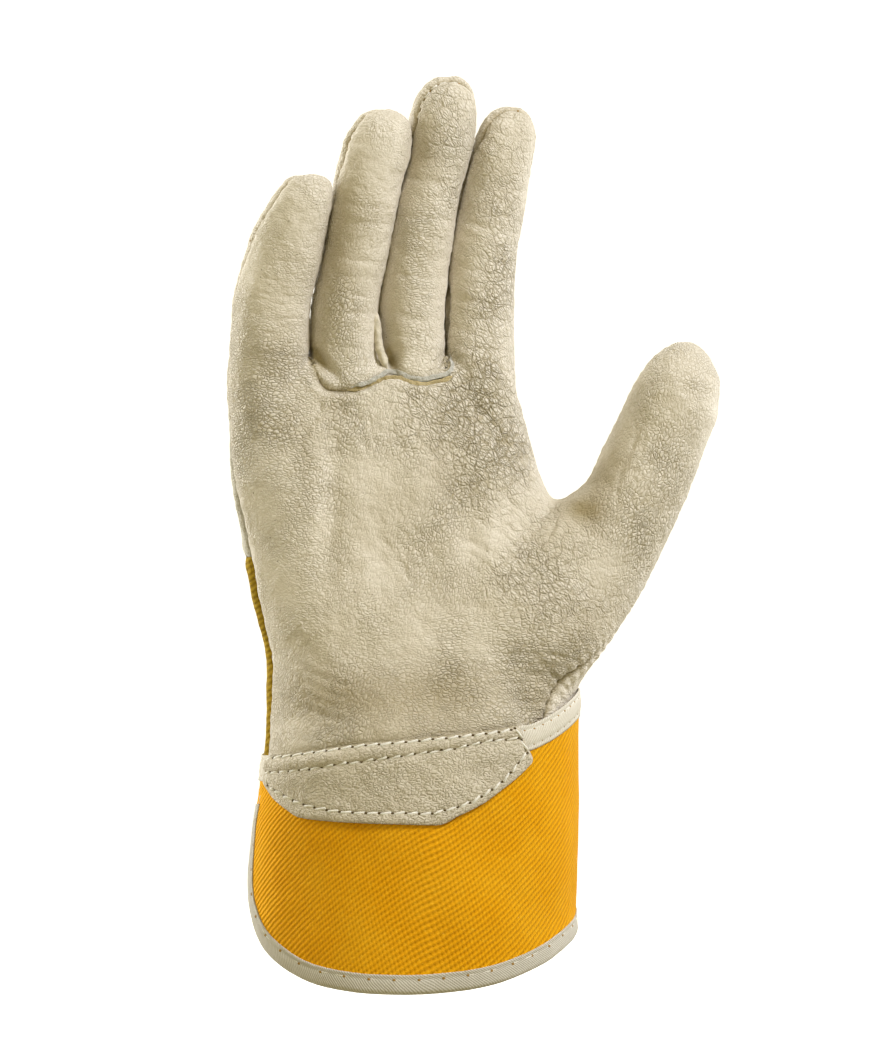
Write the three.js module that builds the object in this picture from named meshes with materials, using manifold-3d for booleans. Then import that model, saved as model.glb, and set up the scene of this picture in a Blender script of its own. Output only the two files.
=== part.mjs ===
// A leather work glove for the right hand, filled out as on a hand, fingers up and palm forward.
// Millimetres, +Z towards the fingertips, the palm faces -Y and the thumb points to +X.
// The origin is the centre of the wrist. Every piece is a thin wall, as it is cut from hide or cloth.
import * as THREE from "three";
import { mergeVertices } from "three/addons/utils/BufferGeometryUtils.js";
import Module from "manifold-3d";

const wasm = await Module();
wasm.setup();

// Thicknesses and clearances
const LEATHER = 1.6;
const CUFF_CLOTH = 1.3;
const TAPE = 0.9;
const BINDING = 0.8;
const WELT = 1.8;
const WELT_PROUD = 0.9;
const GAP = 0.3;
const HALF_GAP = GAP / 2;

// Heights that divide the back of the hand
const KNUCKLE_LINE = 104;
const FREE_FINGERS = 116;
const WEB_TOP = 112;
const THUMB_CROTCH = 72;
const WELT_TOP = 110.5;
const STRAP_FOOT = 54;

// Widths of the narrow bands
const TAPE_WIDTH = 7.5;
const BINDING_WIDTH = 5.6;

// Number of corners round each form
const HAND_SIDES = 30;
const THUMB_SIDES = 16;
const FINGER_SIDES = 14;

// How square a section is: 2 is an ellipse, more is fuller at the corners
const HAND_POWER = 2.3;
const FINGER_POWER = 2.25;

const FAR = 120;

// Corners closer than this are one corner, and seams between faces this flat are drawn together
const SAME_POINT = 1e-4;
const TIDY = 0.02;

// The block that cuts the palm at the sewn line starts this far behind the middle of the hand, and
// the band that trims the hand at the wrist reaches this far to both sides of its wall
const SEAM_BLOCK_BACK = 5;
const TRIM_REACH = 4;

// How far the sheets that part a finger run past its sides and its tip
const PAST_SIDE = 15;
const PAST_TIP = 5;

// Levels of the cuff's wall, and the height over which the pulse patch comes down from the tape
const CUFF_LEVELS = 3;
const PATCH_EASE = 5;

// A table's rows as objects with the named columns
const table = (columns, rows) =>
  rows.map((row) => Object.fromEntries(columns.map((name, i) => [name, row[i]])));

// Level sections. left and right are the outline seen from the palm side, mid is the middle of the
// depth and half is half the depth. On a finger, ulnar and radial say how far behind mid the side
// seams run, on the little finger's side and on the thumb's side.
const SECTION = ["z", "left", "right", "mid", "half"];
const FINGER_SECTION = [...SECTION, "ulnar", "radial"];

const HAND = table(SECTION, [
  [-16, -47.6, 46.6, 0, 31.2],
  [0, -45.4, 46.6, 0, 29.5],
  [11, -44.6, 45.8, 0, 28],
  [22, -45.3, 45.8, 0, 26],
  [35, -48.1, 46, -1, 24],
  [52, -51.6, 46, -1, 22],
  [68, -54.6, 40.5, -1, 20],
  [80, -56.2, 35, -1, 18.3],
  [93, -56.6, 31, -1, 16],
  [102, -56.4, 28.8, -1, 14.2],
  [108, -55, 27.5, -1.5, 11.5],
  [112, -50, 23, -2, 7],
]);

const DIGITS = {
  little: table(FINGER_SECTION, [
    [84, -53, -37, -1, 9, 2, 2],
    [92, -56.6, -33.7, -1, 15, 2, 2],
    [104, -56.8, -33.6, -1.5, 13.2, 2.5, 2.5],
    [112, -56.7, -33.5, -3, 12.2, 4, 4],
    [126, -56.6, -33.4, -5.5, 11.7, 1, 2],
    [143, -53.5, -30.2, -9, 11.4, -1.5, 2],
    [151, -50.8, -28.9, -11, 11, -3, 2],
    [157.8, -45.3, -28.6, -13.5, 9.7, -4, 1.5],
    [162.3, -41.9, -29.5, -15, 7.4, -3.5, 1],
    [164.8, -39.6, -31.2, -16, 4.6, -2, 0],
    [165.8, -36.6, -33.5, -16.3, 1.6, -1, 0],
  ]),
  ring: table(FINGER_SECTION, [
    [84, -31, -15, -1, 9, 2, 2],
    [92, -33.3, -12.7, -1, 14.8, 2, 2],
    [104, -33.3, -12.9, -1.5, 13, 2.5, 2.5],
    [112, -33.2, -12.9, -2, 12.2, 3, 3],
    [126, -33.1, -13, -3.5, 11.6, 1, 2],
    [143, -29.9, -10.7, -6, 11.4, 0, 2],
    [155, -28.4, -8.9, -8.5, 11.2, -1.5, 2],
    [165, -26.4, -6.9, -10.6, 10.8, -3, 2],
    [170.9, -24.5, -5.3, -12, 10.3, -4, 2],
    [176.4, -22.6, -4.7, -13.2, 9, -4, 1.5],
    [180.9, -19.4, -5.5, -14.2, 6.8, -3, 1],
    [183.9, -17.5, -8.5, -14.8, 3.8, -2, 0],
    [185, -14.7, -11.3, -15, 1.3, -1, 0],
  ]),
  middle: table(FINGER_SECTION, [
    [84, -10, 5, -1, 9, 2, 2],
    [92, -12.3, 6.9, -1, 14.8, 2, 2],
    [104, -12.6, 6.8, -1, 13, 2, 2],
    [112, -12.6, 6.5, -1, 12.2, 2, 2],
    [126, -12.7, 6.7, -1.5, 11.4, 1, 2],
    [143, -10.4, 8.4, -2.5, 11.3, 0, 2],
    [159, -7.8, 10.9, -4, 11.2, -1, 2],
    [172, -4.9, 13.8, -6, 11, -3, 2],
    [183.4, -4.1, 15.4, -8.5, 10, -4, 2],
    [188.9, -2.9, 15.1, -9.6, 8, -3.5, 1],
    [192.8, -0.2, 12.2, -10.4, 5, -3, -1],
    [195, 3.3, 7.9, -10.9, 1.7, -1, -0.5],
  ]),
  index: table(FINGER_SECTION, [
    [84, 11, 27, -0.5, 9, 1.5, 1.5],
    [92, 8.1, 31.1, -0.5, 15, 1.5, 1.5],
    [104, 7.1, 28.5, -0.5, 13, 1.5, 1.5],
    [112, 6.8, 28, 0, 12.2, 1, 1],
    [126, 7, 28, 1, 11.5, 1, 3],
    [143, 8.7, 29, 0.7, 11.3, 0, 3],
    [159, 11.2, 31.2, 0.2, 11, -1.5, 3],
    [171.7, 14, 32.9, -1.8, 10.5, -3, 3],
    [178, 16.5, 33.4, -3, 9.2, -3.5, 2],
    [182.5, 18.2, 32.5, -3.8, 7, -3, 1],
    [185.6, 21.1, 30.2, -4.4, 4, -2, -1],
    [186.7, 24.1, 27.9, -4.6, 1.3, -1, -0.4],
  ]),
};


const THUMB = table(SECTION, [
  [6, 18, 42, 0, 14],
  [15, 8, 45.4, 0, 18.5],
  [27, 1.7, 54.3, -2.5, 21.5],
  [44, 2.5, 65.7, -3.5, 19.5],
  [60, 24.4, 74.2, -4.5, 17.8],
  [68.4, 37.3, 77.3, -5, 16.6],
  [76.7, 49.5, 80.4, -6, 15.6],
  [86, 53.9, 83.6, -7.2, 14.5],
  [97, 58.9, 87.6, -8.5, 13.4],
  [105.6, 62.5, 87.6, -9.5, 12],
  [110, 65.2, 86, -10, 10.3],
  [114, 68.7, 83.5, -10.5, 7.6],
  [116.6, 73, 80.5, -10.8, 4.2],
  [117.4, 75.7, 78.1, -10.9, 1.2],
]);


// The dent in the palm side, which the heel, the thumb's base and the finger roots stand round
const PALM_DENT = { x: -8, z: 58, wide: 24, tall: 30, deep: 3.2, before: -6 };

// The wrist line: its height in the middle, its slope towards the thumb and its climb there
const WRIST_LINE = { middle: -2, slope: 6, climb: 7.5, climbFrom: 0.55 };

// The line across the palm where the front of the two middle fingers is sewn in
const FINGER_SEAM = table(["x", "z"], [
  [-33.2, 111],
  [-31.6, 106],
  [-29, 103.2],
  [-23, 102.8],
  [-16.2, 105],
  [-10.8, 108.4],
  [-5.3, 106.2],
  [-0.6, 105.6],
  [4.9, 106.8],
  [7.5, 109.5],
]);

// The seam that parts the front from the back below the fingers: its depth at the little finger's
// side, where the hand ends, where the thumb begins and at the thumb's outer side. Near the wrist the
// outer side comes forward, so that the thumb's back wraps round to the palm's side.
const SIDE_SEAM_COLUMNS = ["z", "ulnar", "handEnd", "radial", "thumbStart", "inner", "thumbEnd", "outer"];

const SIDE_SEAM = table(SIDE_SEAM_COLUMNS, [
  [-30, -7, 8, 0, 12, -14, 20, -27],
  [2, -7, 16, 0, 20, -14, 31, -24],
  [7, -7, 18, 0, 22, -12, 33, -20.5],
  [14, -7, 22, 0, 28, -10, 38, -18.5],
  [21, -7, 26, 0, 32, -8, 42, -16],
  [30, -6.8, 30, 0, 36, -5, 48, -11],
  [40, -6.5, 33, 1.5, 40, -1, 54, -6.5],
  [50, -6, 36, 2, 43, 1, 58, -3],
  [60, -5.2, 38, 3, 44, 2, 62, -1.5],
  [72, -3, 39, 3, 45, 0, 66, -1.5],
  [80, 0, 38, 3, 46, -1, 66, -2.5],
  [92, 1, 37, 1, 48, -4, 68, -4.5],
  [112, 1, 36, 1, 50, -8, 72, -8.5],
  [130, 1, 36, 1, 50, -9, 72, -9],
]);

// Where the thumb's back piece meets the cloth back
const THUMB_BACK_EDGE = table(["z", "x"], [
  [-30, 27],
  [0, 28],
  [20, 31],
  [40, 35.5],
  [60, 40.5],
  [72, 42],
  [130, 42],
]);

// The cuff flares a little below the wrist
const CUFF = table(["z", "left", "right", "half"], [
  [22, -45.3, 45.8, 26],
  [11, -44.6, 45.8, 28],
  [0, -45.4, 46.6, 29.5],
  [-16, -47.6, 46.6, 31.2],
  [-30, -49.2, 46.4, 32.4],
  [-45, -50.2, 46.4, 33.2],
  [-60, -50.4, 46.8, 33.8],
  [-78, -50.6, 47.6, 34.2],
]);

// The cuff's lower edge, from the thumb's side at 0 degrees round to the slit at 180, front and back alike
const HEM = table(["turn", "z"], [
  [0, -54],
  [10, -55.2],
  [22, -57.4],
  [34, -60.1],
  [46, -63.4],
  [58, -66.3],
  [70, -68.9],
  [82, -70.6],
  [95, -71.5],
  [107, -71.2],
  [118, -70.2],
  [129, -68.6],
  [139, -66],
  [147, -63],
  [154, -59.9],
  [160, -56.4],
  [165, -52.8],
  [169, -49.4],
  [172, -45],
  [174.2, -39],
  [175.6, -31],
  [176.4, -18.5],
]);

// The patch over the pulse, front only: its top and bottom edges
const PULSE_PATCH = table(["turn", "top", "foot"], [
  [-161, -4.5, -8.4],
  [-156, -3.1, -12.2],
  [-150, -2.6, -15.7],
  [-143, -2, -18.9],
  [-133, -1.4, -21.6],
  [-120, -0.4, -22.9],
  [-105, 1.1, -23.3],
  [-90, 2.6, -23.4],
  [-80, 3.6, -22.8],
  [-72, 4.3, -20.3],
  [-64, 5.1, -17],
  [-56, 5.5, -12.8],
  [-50.5, 4.7, -9],
  [-47, -0.2, -6.9],
  [-44, -4.1, -5.3],
]);

// The welt shows from here towards the index finger
const WELT_START = table(["z", "x"], [
  [90, -24],
  [120, -24],
]);

// Helpers for the tables

const radians = THREE.MathUtils.degToRad;

// A column of a table read at a height or turn between its rows, along straight lines
function read(rows, key, at, column) {
  const last = rows.length - 1;
  const rising = rows[last][key] > rows[0][key];
  const value = (i) => (rising ? rows[i][key] : -rows[i][key]);
  const wanted = THREE.MathUtils.clamp(rising ? at : -at, value(0), value(last));
  let i = 0;
  while (i < last - 1 && value(i + 1) < wanted) i += 1;
  const share = (wanted - value(i)) / (value(i + 1) - value(i));
  return THREE.MathUtils.lerp(rows[i][column], rows[i + 1][column], share);
}

const bent = (value, power) => Math.sign(value) * Math.abs(value) ** (2 / power);

// Closed solids from rings of points

// A geometry of positions only as a solid for the cuts
function fromGeometry(geometry) {
  const merged = mergeVertices(geometry, SAME_POINT);
  const mesh = new wasm.Mesh({
    numProp: 3,
    vertProperties: new Float32Array(merged.attributes.position.array),
    triVerts: new Uint32Array(merged.index.array),
  });
  return new wasm.Manifold(mesh);
}

// Corners and the triangles between them as a solid
function solid(points, triangles) {
  const geometry = new THREE.BufferGeometry().setFromPoints(points);
  geometry.setIndex(triangles.flat());
  return fromGeometry(geometry);
}

// Rings of equal length, each counter-clockwise seen from above, stacked upwards and capped
function stack(rings) {
  const count = rings[0].length;
  const points = rings.flat();
  const triangles = [];
  for (let r = 0; r + 1 < rings.length; r += 1) {
    for (let i = 0; i < count; i += 1) {
      const a = r * count + i;
      const b = r * count + ((i + 1) % count);
      triangles.push([a, b, b + count], [a, b + count, a + count]);
    }
  }
  const flat = (ring) => ring.map((p) => new THREE.Vector2(p.x, p.y));
  const top = (rings.length - 1) * count;
  for (const [a, b, c] of THREE.ShapeUtils.triangulateShape(flat(rings[0]), [])) {
    triangles.push([a, c, b]);
  }
  for (const [a, b, c] of THREE.ShapeUtils.triangulateShape(flat(rings.at(-1)), [])) {
    triangles.push([top + a, top + b, top + c]);
  }
  return solid(points, triangles);
}

// A profile of corners carried along stations, as one closed band or with two ends
function sweep(stations, closed) {
  const count = stations[0].length;
  const length = stations.length;
  const points = stations.flat();
  const triangles = [];
  for (let s = 0; s < (closed ? length : length - 1); s += 1) {
    const next = (s + 1) % length;
    for (let i = 0; i < count; i += 1) {
      const j = (i + 1) % count;
      const a = s * count + i;
      const b = s * count + j;
      const c = next * count + j;
      const d = next * count + i;
      triangles.push([a, b, c], [a, c, d]);
    }
  }
  if (!closed) {
    const end = (length - 1) * count;
    for (const [a, b, c] of capFaces(stations[0])) {
      triangles.push([a, c, b]);
      triangles.push([end + a, end + b, end + c]);
    }
  }
  return solid(points, triangles);
}

// The triangles of a station's own profile, found in the plane where it is widest
function capFaces(profile) {
  const axisU = new THREE.Vector3().subVectors(profile[1], profile[0]).normalize();
  const across = new THREE.Vector3().subVectors(profile.at(-1), profile[0]);
  const axisV = across.addScaledVector(axisU, -across.dot(axisU)).normalize();
  const flat = profile.map((p) => {
    const from = new THREE.Vector3().subVectors(p, profile[0]);
    return new THREE.Vector2(from.dot(axisU), from.dot(axisV));
  });
  const turned = THREE.ShapeUtils.isClockWise(flat);
  const faces = THREE.ShapeUtils.triangulateShape(flat, []);
  return turned ? faces.map(([a, b, c]) => [a, c, b]) : faces;
}

// The hand's forms

// One level ring of a form
function levelRing(row, sides, power) {
  const centre = (row.left + row.right) / 2;
  const half = (row.right - row.left) / 2;
  return Array.from({ length: sides }, (_, i) => {
    const turn = (2 * Math.PI * i) / sides;
    const x = centre + half * bent(Math.cos(turn), power);
    const y = row.mid + row.half * bent(Math.sin(turn), power);
    return new THREE.Vector3(x, y, row.z);
  });
}

// The rings moved along their own normals: outwards for a clearance, inwards for the lining side
function moved(rings, distance) {
  const count = rings[0].length;
  const last = rings.length - 1;
  return rings.map((ring, r) =>
    ring.map((point, i) => {
      const along = new THREE.Vector3().subVectors(
        rings[Math.min(r + 1, last)][i],
        rings[Math.max(r - 1, 0)][i],
      );
      const round = new THREE.Vector3().subVectors(
        ring[(i + 1) % count],
        ring[(i + count - 1) % count],
      );
      const normal = round.cross(along).normalize();
      return point.clone().addScaledVector(normal, distance);
    }),
  );
}

// The palm side pressed in over the dent
function dented(rings) {
  const { x, z, wide, tall, deep, before: limit } = PALM_DENT;
  for (const point of rings.flat()) {
    if (point.y > limit) continue;
    const off = ((point.x - x) / wide) ** 2 + ((point.z - z) / tall) ** 2;
    point.y += deep * Math.exp(-off);
  }
  return rings;
}

// A form that can be had at any distance outside or, with a minus, inside its own surface
function form(rows, sides, power, finish = (rings) => rings) {
  const rings = finish(rows.map((row) => levelRing(row, sides, power)));
  return { rows, grown: (distance) => stack(moved(rings, distance)) };
}

const hand = form(HAND, HAND_SIDES, HAND_POWER, dented);
const thumb = form(THUMB, THUMB_SIDES, FINGER_POWER);
const fingers = Object.fromEntries(
  Object.entries(DIGITS).map(([name, rows]) => [name, form(rows, FINGER_SIDES, FINGER_POWER)]),
);

const joined = (parts) => parts.reduce((whole, part) => whole.add(part));
const grown = (forms, distance) => joined(forms.map((f) => f.grown(distance)));

const allFingers = Object.values(fingers);
const middleTwo = [fingers.ring, fingers.middle];
const outerTwo = [fingers.little, fingers.index];
const hollow = grown([hand, thumb, ...allFingers], -LEATHER);

// The spaces that the pieces are cut from

// The space between two heights
function slab(low, high) {
  const corner = (x, y, z) => new THREE.Vector3(x, y, z);
  const square = (z) => [
    corner(-FAR, -FAR, z),
    corner(FAR, -FAR, z),
    corner(FAR, FAR, z),
    corner(-FAR, FAR, z),
  ];
  return stack([square(low), square(high)]);
}

// The space on the palm side of a line that runs across each level, moved back by shift
function before(lines, shift) {
  const rings = lines.map(({ z, line }) => {
    const edge = line.map(([x, y]) => new THREE.Vector3(x, y + shift, z));
    const corners = [edge[0].x, edge.at(-1).x].map((x) => new THREE.Vector3(x, -FAR, z));
    return [...corners, ...edge.toReversed()];
  });
  return stack(rings);
}

// The space behind the same line
const behind = (lines) => slab(lines[0].z, lines.at(-1).z).subtract(before(lines, HALF_GAP));

const fingerLines = (rows) =>
  rows.map((row) => ({
    z: row.z + (row === rows.at(-1) ? PAST_TIP : 0),
    line: [
      [row.left - PAST_SIDE, row.mid + row.ulnar],
      [row.left, row.mid + row.ulnar],
      [row.right, row.mid + row.radial],
      [row.right + PAST_SIDE, row.mid + row.radial],
    ],
  }));

const handLines = SIDE_SEAM.map((row) => ({
  z: row.z,
  line: [
    [-FAR, row.ulnar],
    [row.handEnd, row.radial],
    [row.thumbStart, row.inner],
    [row.thumbEnd, row.outer],
    [FAR, row.outer],
  ],
}));

// The space on one side of a line of heights and widths, seen from the palm side: side 1 is towards
// the thumb
function across(rows, side) {
  const rings = rows.map(({ z, x }) => {
    const edge = x + side * HALF_GAP;
    const low = Math.min(edge, side * FAR);
    const high = Math.max(edge, side * FAR);
    const square = [
      [low, -FAR],
      [high, -FAR],
      [high, FAR],
      [low, FAR],
    ];
    return square.map(([px, py]) => new THREE.Vector3(px, py, z));
  });
  return stack(rings);
}

// The space above the sewn line across the palm, on the palm side only
function overSeam(shift) {
  const edge = FINGER_SEAM.map(({ x, z }) => new THREE.Vector2(x, z + shift));
  const shape = new THREE.Shape([
    ...edge,
    new THREE.Vector2(FINGER_SEAM.at(-1).x, FAR * 2),
    new THREE.Vector2(FINGER_SEAM[0].x, FAR * 2),
  ]);
  const block = new THREE.ExtrudeGeometry(shape, { depth: FAR, bevelEnabled: false });
  block.rotateX(Math.PI / 2);
  block.translate(0, SEAM_BLOCK_BACK, 0);
  block.deleteAttribute("normal");
  block.deleteAttribute("uv");
  return fromGeometry(block);
}

// The line round the wrist where hand and cuff meet. It slopes, and climbs more near the thumb.
function wristLine(turn) {
  const { middle, slope, climb, climbFrom } = WRIST_LINE;
  const facing = Math.cos(turn);
  const near = Math.max(0, (facing - climbFrom) / (1 - climbFrom));
  return middle + slope * facing + climb * near ** 1.5;
}

// A point of the cuff's outside at a turn and height, moved outwards by reach
function cuffPoint(turn, z, reach) {
  const left = read(CUFF, "z", z, "left");
  const right = read(CUFF, "z", z, "right");
  const half = read(CUFF, "z", z, "half");
  const x = (left + right) / 2 + ((right - left) / 2 + reach) * bent(Math.cos(turn), HAND_POWER);
  const y = (half + reach) * bent(Math.sin(turn), HAND_POWER);
  return new THREE.Vector3(x, y, z);
}

// The turns at which the wrist and cuff are measured, from the slit round by the palm and back
const TURNS = [...HEM.map((row) => -row.turn).reverse(), ...HEM.slice(1).map((row) => row.turn)];

// A band round the wrist: profile gives corners as [height, reach] at a turn
function band(turns, profile, closed) {
  const stations = turns.map((degrees) => {
    const turn = radians(degrees);
    return profile(degrees, turn).map(([z, reach]) => cuffPoint(turn, z, reach));
  });
  return sweep(stations, closed);
}

// Everything below the wrist line, to trim the hand's lower edge
function belowWrist() {
  return band(TURNS, (_, turn) => {
    const top = wristLine(turn) + HALF_GAP;
    return [
      [-FAR, TRIM_REACH],
      [-FAR, -TRIM_REACH],
      [top, -TRIM_REACH],
      [top, TRIM_REACH],
    ];
  }, true);
}

const front = before(handLines, -HALF_GAP);
const back = behind(handLines);
const thumbSide = across(THUMB_BACK_EDGE, 1);
const handSide = across(THUMB_BACK_EDGE, -1);
const wristTrim = belowWrist();
const fingered = slab(KNUCKLE_LINE + GAP, FAR * 2);

const trimmed = (piece) => piece.subtract(hollow).subtract(wristTrim);

// The pieces of the hand

const roots = grown([hand, ...allFingers], 0).intersect(slab(-FAR, WEB_TOP));
const fingerFronts = (forms) =>
  joined(forms.map((f) => f.grown(0).intersect(before(fingerLines(f.rows), -HALF_GAP))));

// Palm with the front of the thumb, index and little finger, cut from one hide
function makePalm() {
  const palm = roots.subtract(overSeam(0)).add(thumb.grown(0)).intersect(front);
  const clear = grown(middleTwo, GAP).intersect(overSeam(0));
  return trimmed(palm.add(fingerFronts(outerTwo)).subtract(clear));
}

// The front of the ring and middle finger, one hide sewn in across the palm
function makeMiddleFronts() {
  const sewn = roots.intersect(front).intersect(overSeam(2 * GAP + WELT));
  const free = fingerFronts(middleTwo).intersect(slab(FREE_FINGERS, FAR * 2));
  const low = fingerFronts(middleTwo).intersect(overSeam(2 * GAP + WELT));
  return trimmed(joined([sewn, low, free]).subtract(grown(outerTwo, GAP)));
}

// The welt that stands between the two hides where the middle fingers' front is sewn in
function makeWelt() {
  const proud = grown([hand, ...middleTwo], WELT_PROUD);
  const strip = overSeam(GAP).subtract(overSeam(GAP + WELT)).intersect(across(WELT_START, 1));
  const standing = proud.intersect(strip).intersect(front).intersect(slab(-FAR, WELT_TOP));
  return standing.subtract(grown(outerTwo, GAP)).subtract(hollow);
}

// The back of one finger, from the knuckles to the tip
function makeFingerBack(one) {
  return trimmed(one.grown(0).intersect(behind(fingerLines(one.rows))).intersect(fingered));
}

// The leather strap over the knuckles, with the webs between the finger roots
function makeKnuckleStrap() {
  const strap = roots.intersect(back).intersect(handSide).intersect(slab(STRAP_FOOT, FAR * 2));
  const clear = grown(allFingers, GAP).intersect(slab(KNUCKLE_LINE, FAR * 2));
  return trimmed(strap.subtract(clear));
}

// The cloth back between strap and wrist
function makeClothBack() {
  const cloth = roots.intersect(back).intersect(handSide);
  return trimmed(cloth.intersect(slab(-FAR, STRAP_FOOT - GAP)));
}

// The back of the thumb, running down to the wrist
function makeThumbBack() {
  const base = hand.grown(0).intersect(slab(-FAR, THUMB_CROTCH));
  return trimmed(thumb.grown(0).add(base).intersect(back).intersect(thumbSide));
}

// The pieces of the wrist

// The cloth cuff, one wall from the wrist line to the hem, slit on the little finger's side
function makeCuff() {
  const shares = Array.from({ length: CUFF_LEVELS + 1 }, (_, i) => i / CUFF_LEVELS);
  return band(TURNS, (degrees, turn) => {
    const top = wristLine(turn) - HALF_GAP;
    const foot = read(HEM, "turn", Math.abs(degrees), "z");
    const heights = shares.map((share) => THREE.MathUtils.lerp(top, foot, share));
    return [
      ...heights.map((z) => [z, 0]),
      ...heights.toReversed().map((z) => [z, -CUFF_CLOTH]),
    ];
  }, true);
}

// The tape over the joint of hand and cuff
function makeTape() {
  return band(TURNS, (_, turn) => {
    const middle = wristLine(turn);
    const half = TAPE_WIDTH / 2;
    return [
      [middle + half, GAP + TAPE],
      [middle - half, GAP + TAPE],
      [middle - half, GAP],
      [middle + half, GAP],
    ];
  }, true);
}

// The leather patch over the pulse, lying on the tape and the cuff
function makePulsePatch() {
  const onTape = 2 * GAP + TAPE;
  return band(PULSE_PATCH.map((row) => row.turn), (degrees, turn) => {
    const top = read(PULSE_PATCH, "turn", degrees, "top");
    const foot = read(PULSE_PATCH, "turn", degrees, "foot");
    const tapeFoot = wristLine(turn) - TAPE_WIDTH / 2;
    const lift = (z) => {
      const below = THREE.MathUtils.clamp((tapeFoot - z) / PATCH_EASE, 0, 1);
      return THREE.MathUtils.lerp(onTape, GAP, below);
    };
    const kink = Math.max(tapeFoot, foot + 1);
    const heights = [top, kink, (kink + foot) / 2, foot];
    return [
      ...heights.map((z) => [z, lift(z) + LEATHER]),
      ...heights.toReversed().map((z) => [z, lift(z)]),
    ];
  }, false);
}

// The tape folded over the cuff's edge, from one side of the slit round the hem to the other
function makeBinding() {
  const edge = TURNS.map((degrees) => ({ turn: degrees, z: read(HEM, "turn", Math.abs(degrees), "z") }));
  const inner = -CUFF_CLOTH - GAP;
  const stations = edge.map((here, i) => {
    const before = edge[Math.max(i - 1, 0)];
    const after = edge[Math.min(i + 1, edge.length - 1)];
    const run = new THREE.Vector2(after.turn - before.turn, after.z - before.z);
    const upward = new THREE.Vector2(-run.y, run.x).normalize();
    const place = (rise, reach) =>
      cuffPoint(radians(here.turn + upward.x * rise), here.z + upward.y * rise, reach);
    const leaf = BINDING_WIDTH - BINDING - GAP;
    return [
      place(leaf, GAP),
      place(leaf, GAP + BINDING),
      place(-GAP - BINDING, GAP + BINDING),
      place(-GAP - BINDING, inner - BINDING),
      place(leaf, inner - BINDING),
      place(leaf, inner),
      place(-GAP, inner),
      place(-GAP, GAP),
    ];
  });
  return sweep(stations, false);
}

const group = new THREE.Group();

// A finished solid as a named mesh
function addPiece(name, made, material) {
  const { vertProperties, triVerts, numProp, numVert } = made.simplify(TIDY).getMesh();
  const positions = new Float32Array(numVert * 3);
  for (let i = 0; i < numVert; i += 1) {
    positions.set(vertProperties.subarray(i * numProp, i * numProp + 3), i * 3);
  }
  const geometry = new THREE.BufferGeometry();
  geometry.setAttribute("position", new THREE.BufferAttribute(positions, 3));
  geometry.setIndex(new THREE.BufferAttribute(new Uint32Array(triVerts), 1));
  geometry.computeVertexNormals();
  const mesh = new THREE.Mesh(geometry, material);
  mesh.name = name;
  group.add(mesh);
}

const finish = (color, roughness) => new THREE.MeshStandardMaterial({ color, roughness, metalness: 0 });
const hide = finish(0xcfc4ab, 0.6);
const greyHide = finish(0xaea590, 0.7);
const cloth = finish(0xdb9a10, 0.85);
const tapeCloth = finish(0xc9bfa4, 0.9);

addPiece("palm", makePalm(), hide);
addPiece("middle_fronts", makeMiddleFronts(), hide);
for (const [name, one] of Object.entries(fingers)) {
  addPiece(`${name}_back`, makeFingerBack(one), hide);
}
addPiece("knuckle_strap", makeKnuckleStrap(), greyHide);
addPiece("cloth_back", makeClothBack(), cloth);
addPiece("thumb_back", makeThumbBack(), hide);
addPiece("welt", makeWelt(), greyHide);
addPiece("cuff", makeCuff(), cloth);
addPiece("wrist_tape", makeTape(), tapeCloth);
addPiece("pulse_patch", makePulsePatch(), hide);
addPiece("cuff_binding", makeBinding(), tapeCloth);

export default group;
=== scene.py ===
# %% [markdown]
# # A leather work glove
# A right-hand glove of soft grain leather, filled out as on a hand, with a cloth back, a taped wrist
# and a slit cuff of yellow twill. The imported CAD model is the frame: every piece made here stands
# where its CAD solid stands. Sizes are in millimetres and become metres when a mesh is made. The noise
# that bends creases is seeded, so that every run makes the same glove.

# %% Load the frame
import math

import bmesh
import bpy
import numpy as np
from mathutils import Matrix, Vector, kdtree, noise
from mathutils.bvhtree import BVHTree


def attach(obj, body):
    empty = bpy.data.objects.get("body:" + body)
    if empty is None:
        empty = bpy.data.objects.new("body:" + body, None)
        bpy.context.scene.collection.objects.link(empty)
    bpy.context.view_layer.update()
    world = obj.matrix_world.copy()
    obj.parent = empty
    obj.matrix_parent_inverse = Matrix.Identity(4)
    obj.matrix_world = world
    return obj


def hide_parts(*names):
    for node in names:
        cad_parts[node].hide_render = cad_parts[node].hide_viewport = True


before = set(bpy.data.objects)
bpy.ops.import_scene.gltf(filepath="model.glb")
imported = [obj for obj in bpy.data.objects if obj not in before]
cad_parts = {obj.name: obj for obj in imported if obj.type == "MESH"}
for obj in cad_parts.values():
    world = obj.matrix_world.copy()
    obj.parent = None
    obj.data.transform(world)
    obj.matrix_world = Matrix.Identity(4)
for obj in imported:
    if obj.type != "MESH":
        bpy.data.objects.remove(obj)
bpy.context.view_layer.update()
MM = 0.001
NOISE_SEED = 7
noise.seed_set(NOISE_SEED)
print("CAD nodes:", sorted(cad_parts))

# %% [markdown]
# ## The camera and the studio
# The photograph looks at the palm from a little towards the little finger's side, level, with a long
# lens. A glove that is held up throws no shadow into such a picture, so the floor lies well below the
# cuff. Light comes from large soft panels: a key from the thumb's side, a weaker fill, and two panels
# behind that draw the bright rims along the fingers.

# %% Camera
VIEW_TURN = -8.0
VIEW_DISTANCE = 2000.0
VIEW_CENTRE = (6.64, 0.0, 64.0)
PHOTO_HEIGHT = 308.6
SENSOR = 36.0


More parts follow.
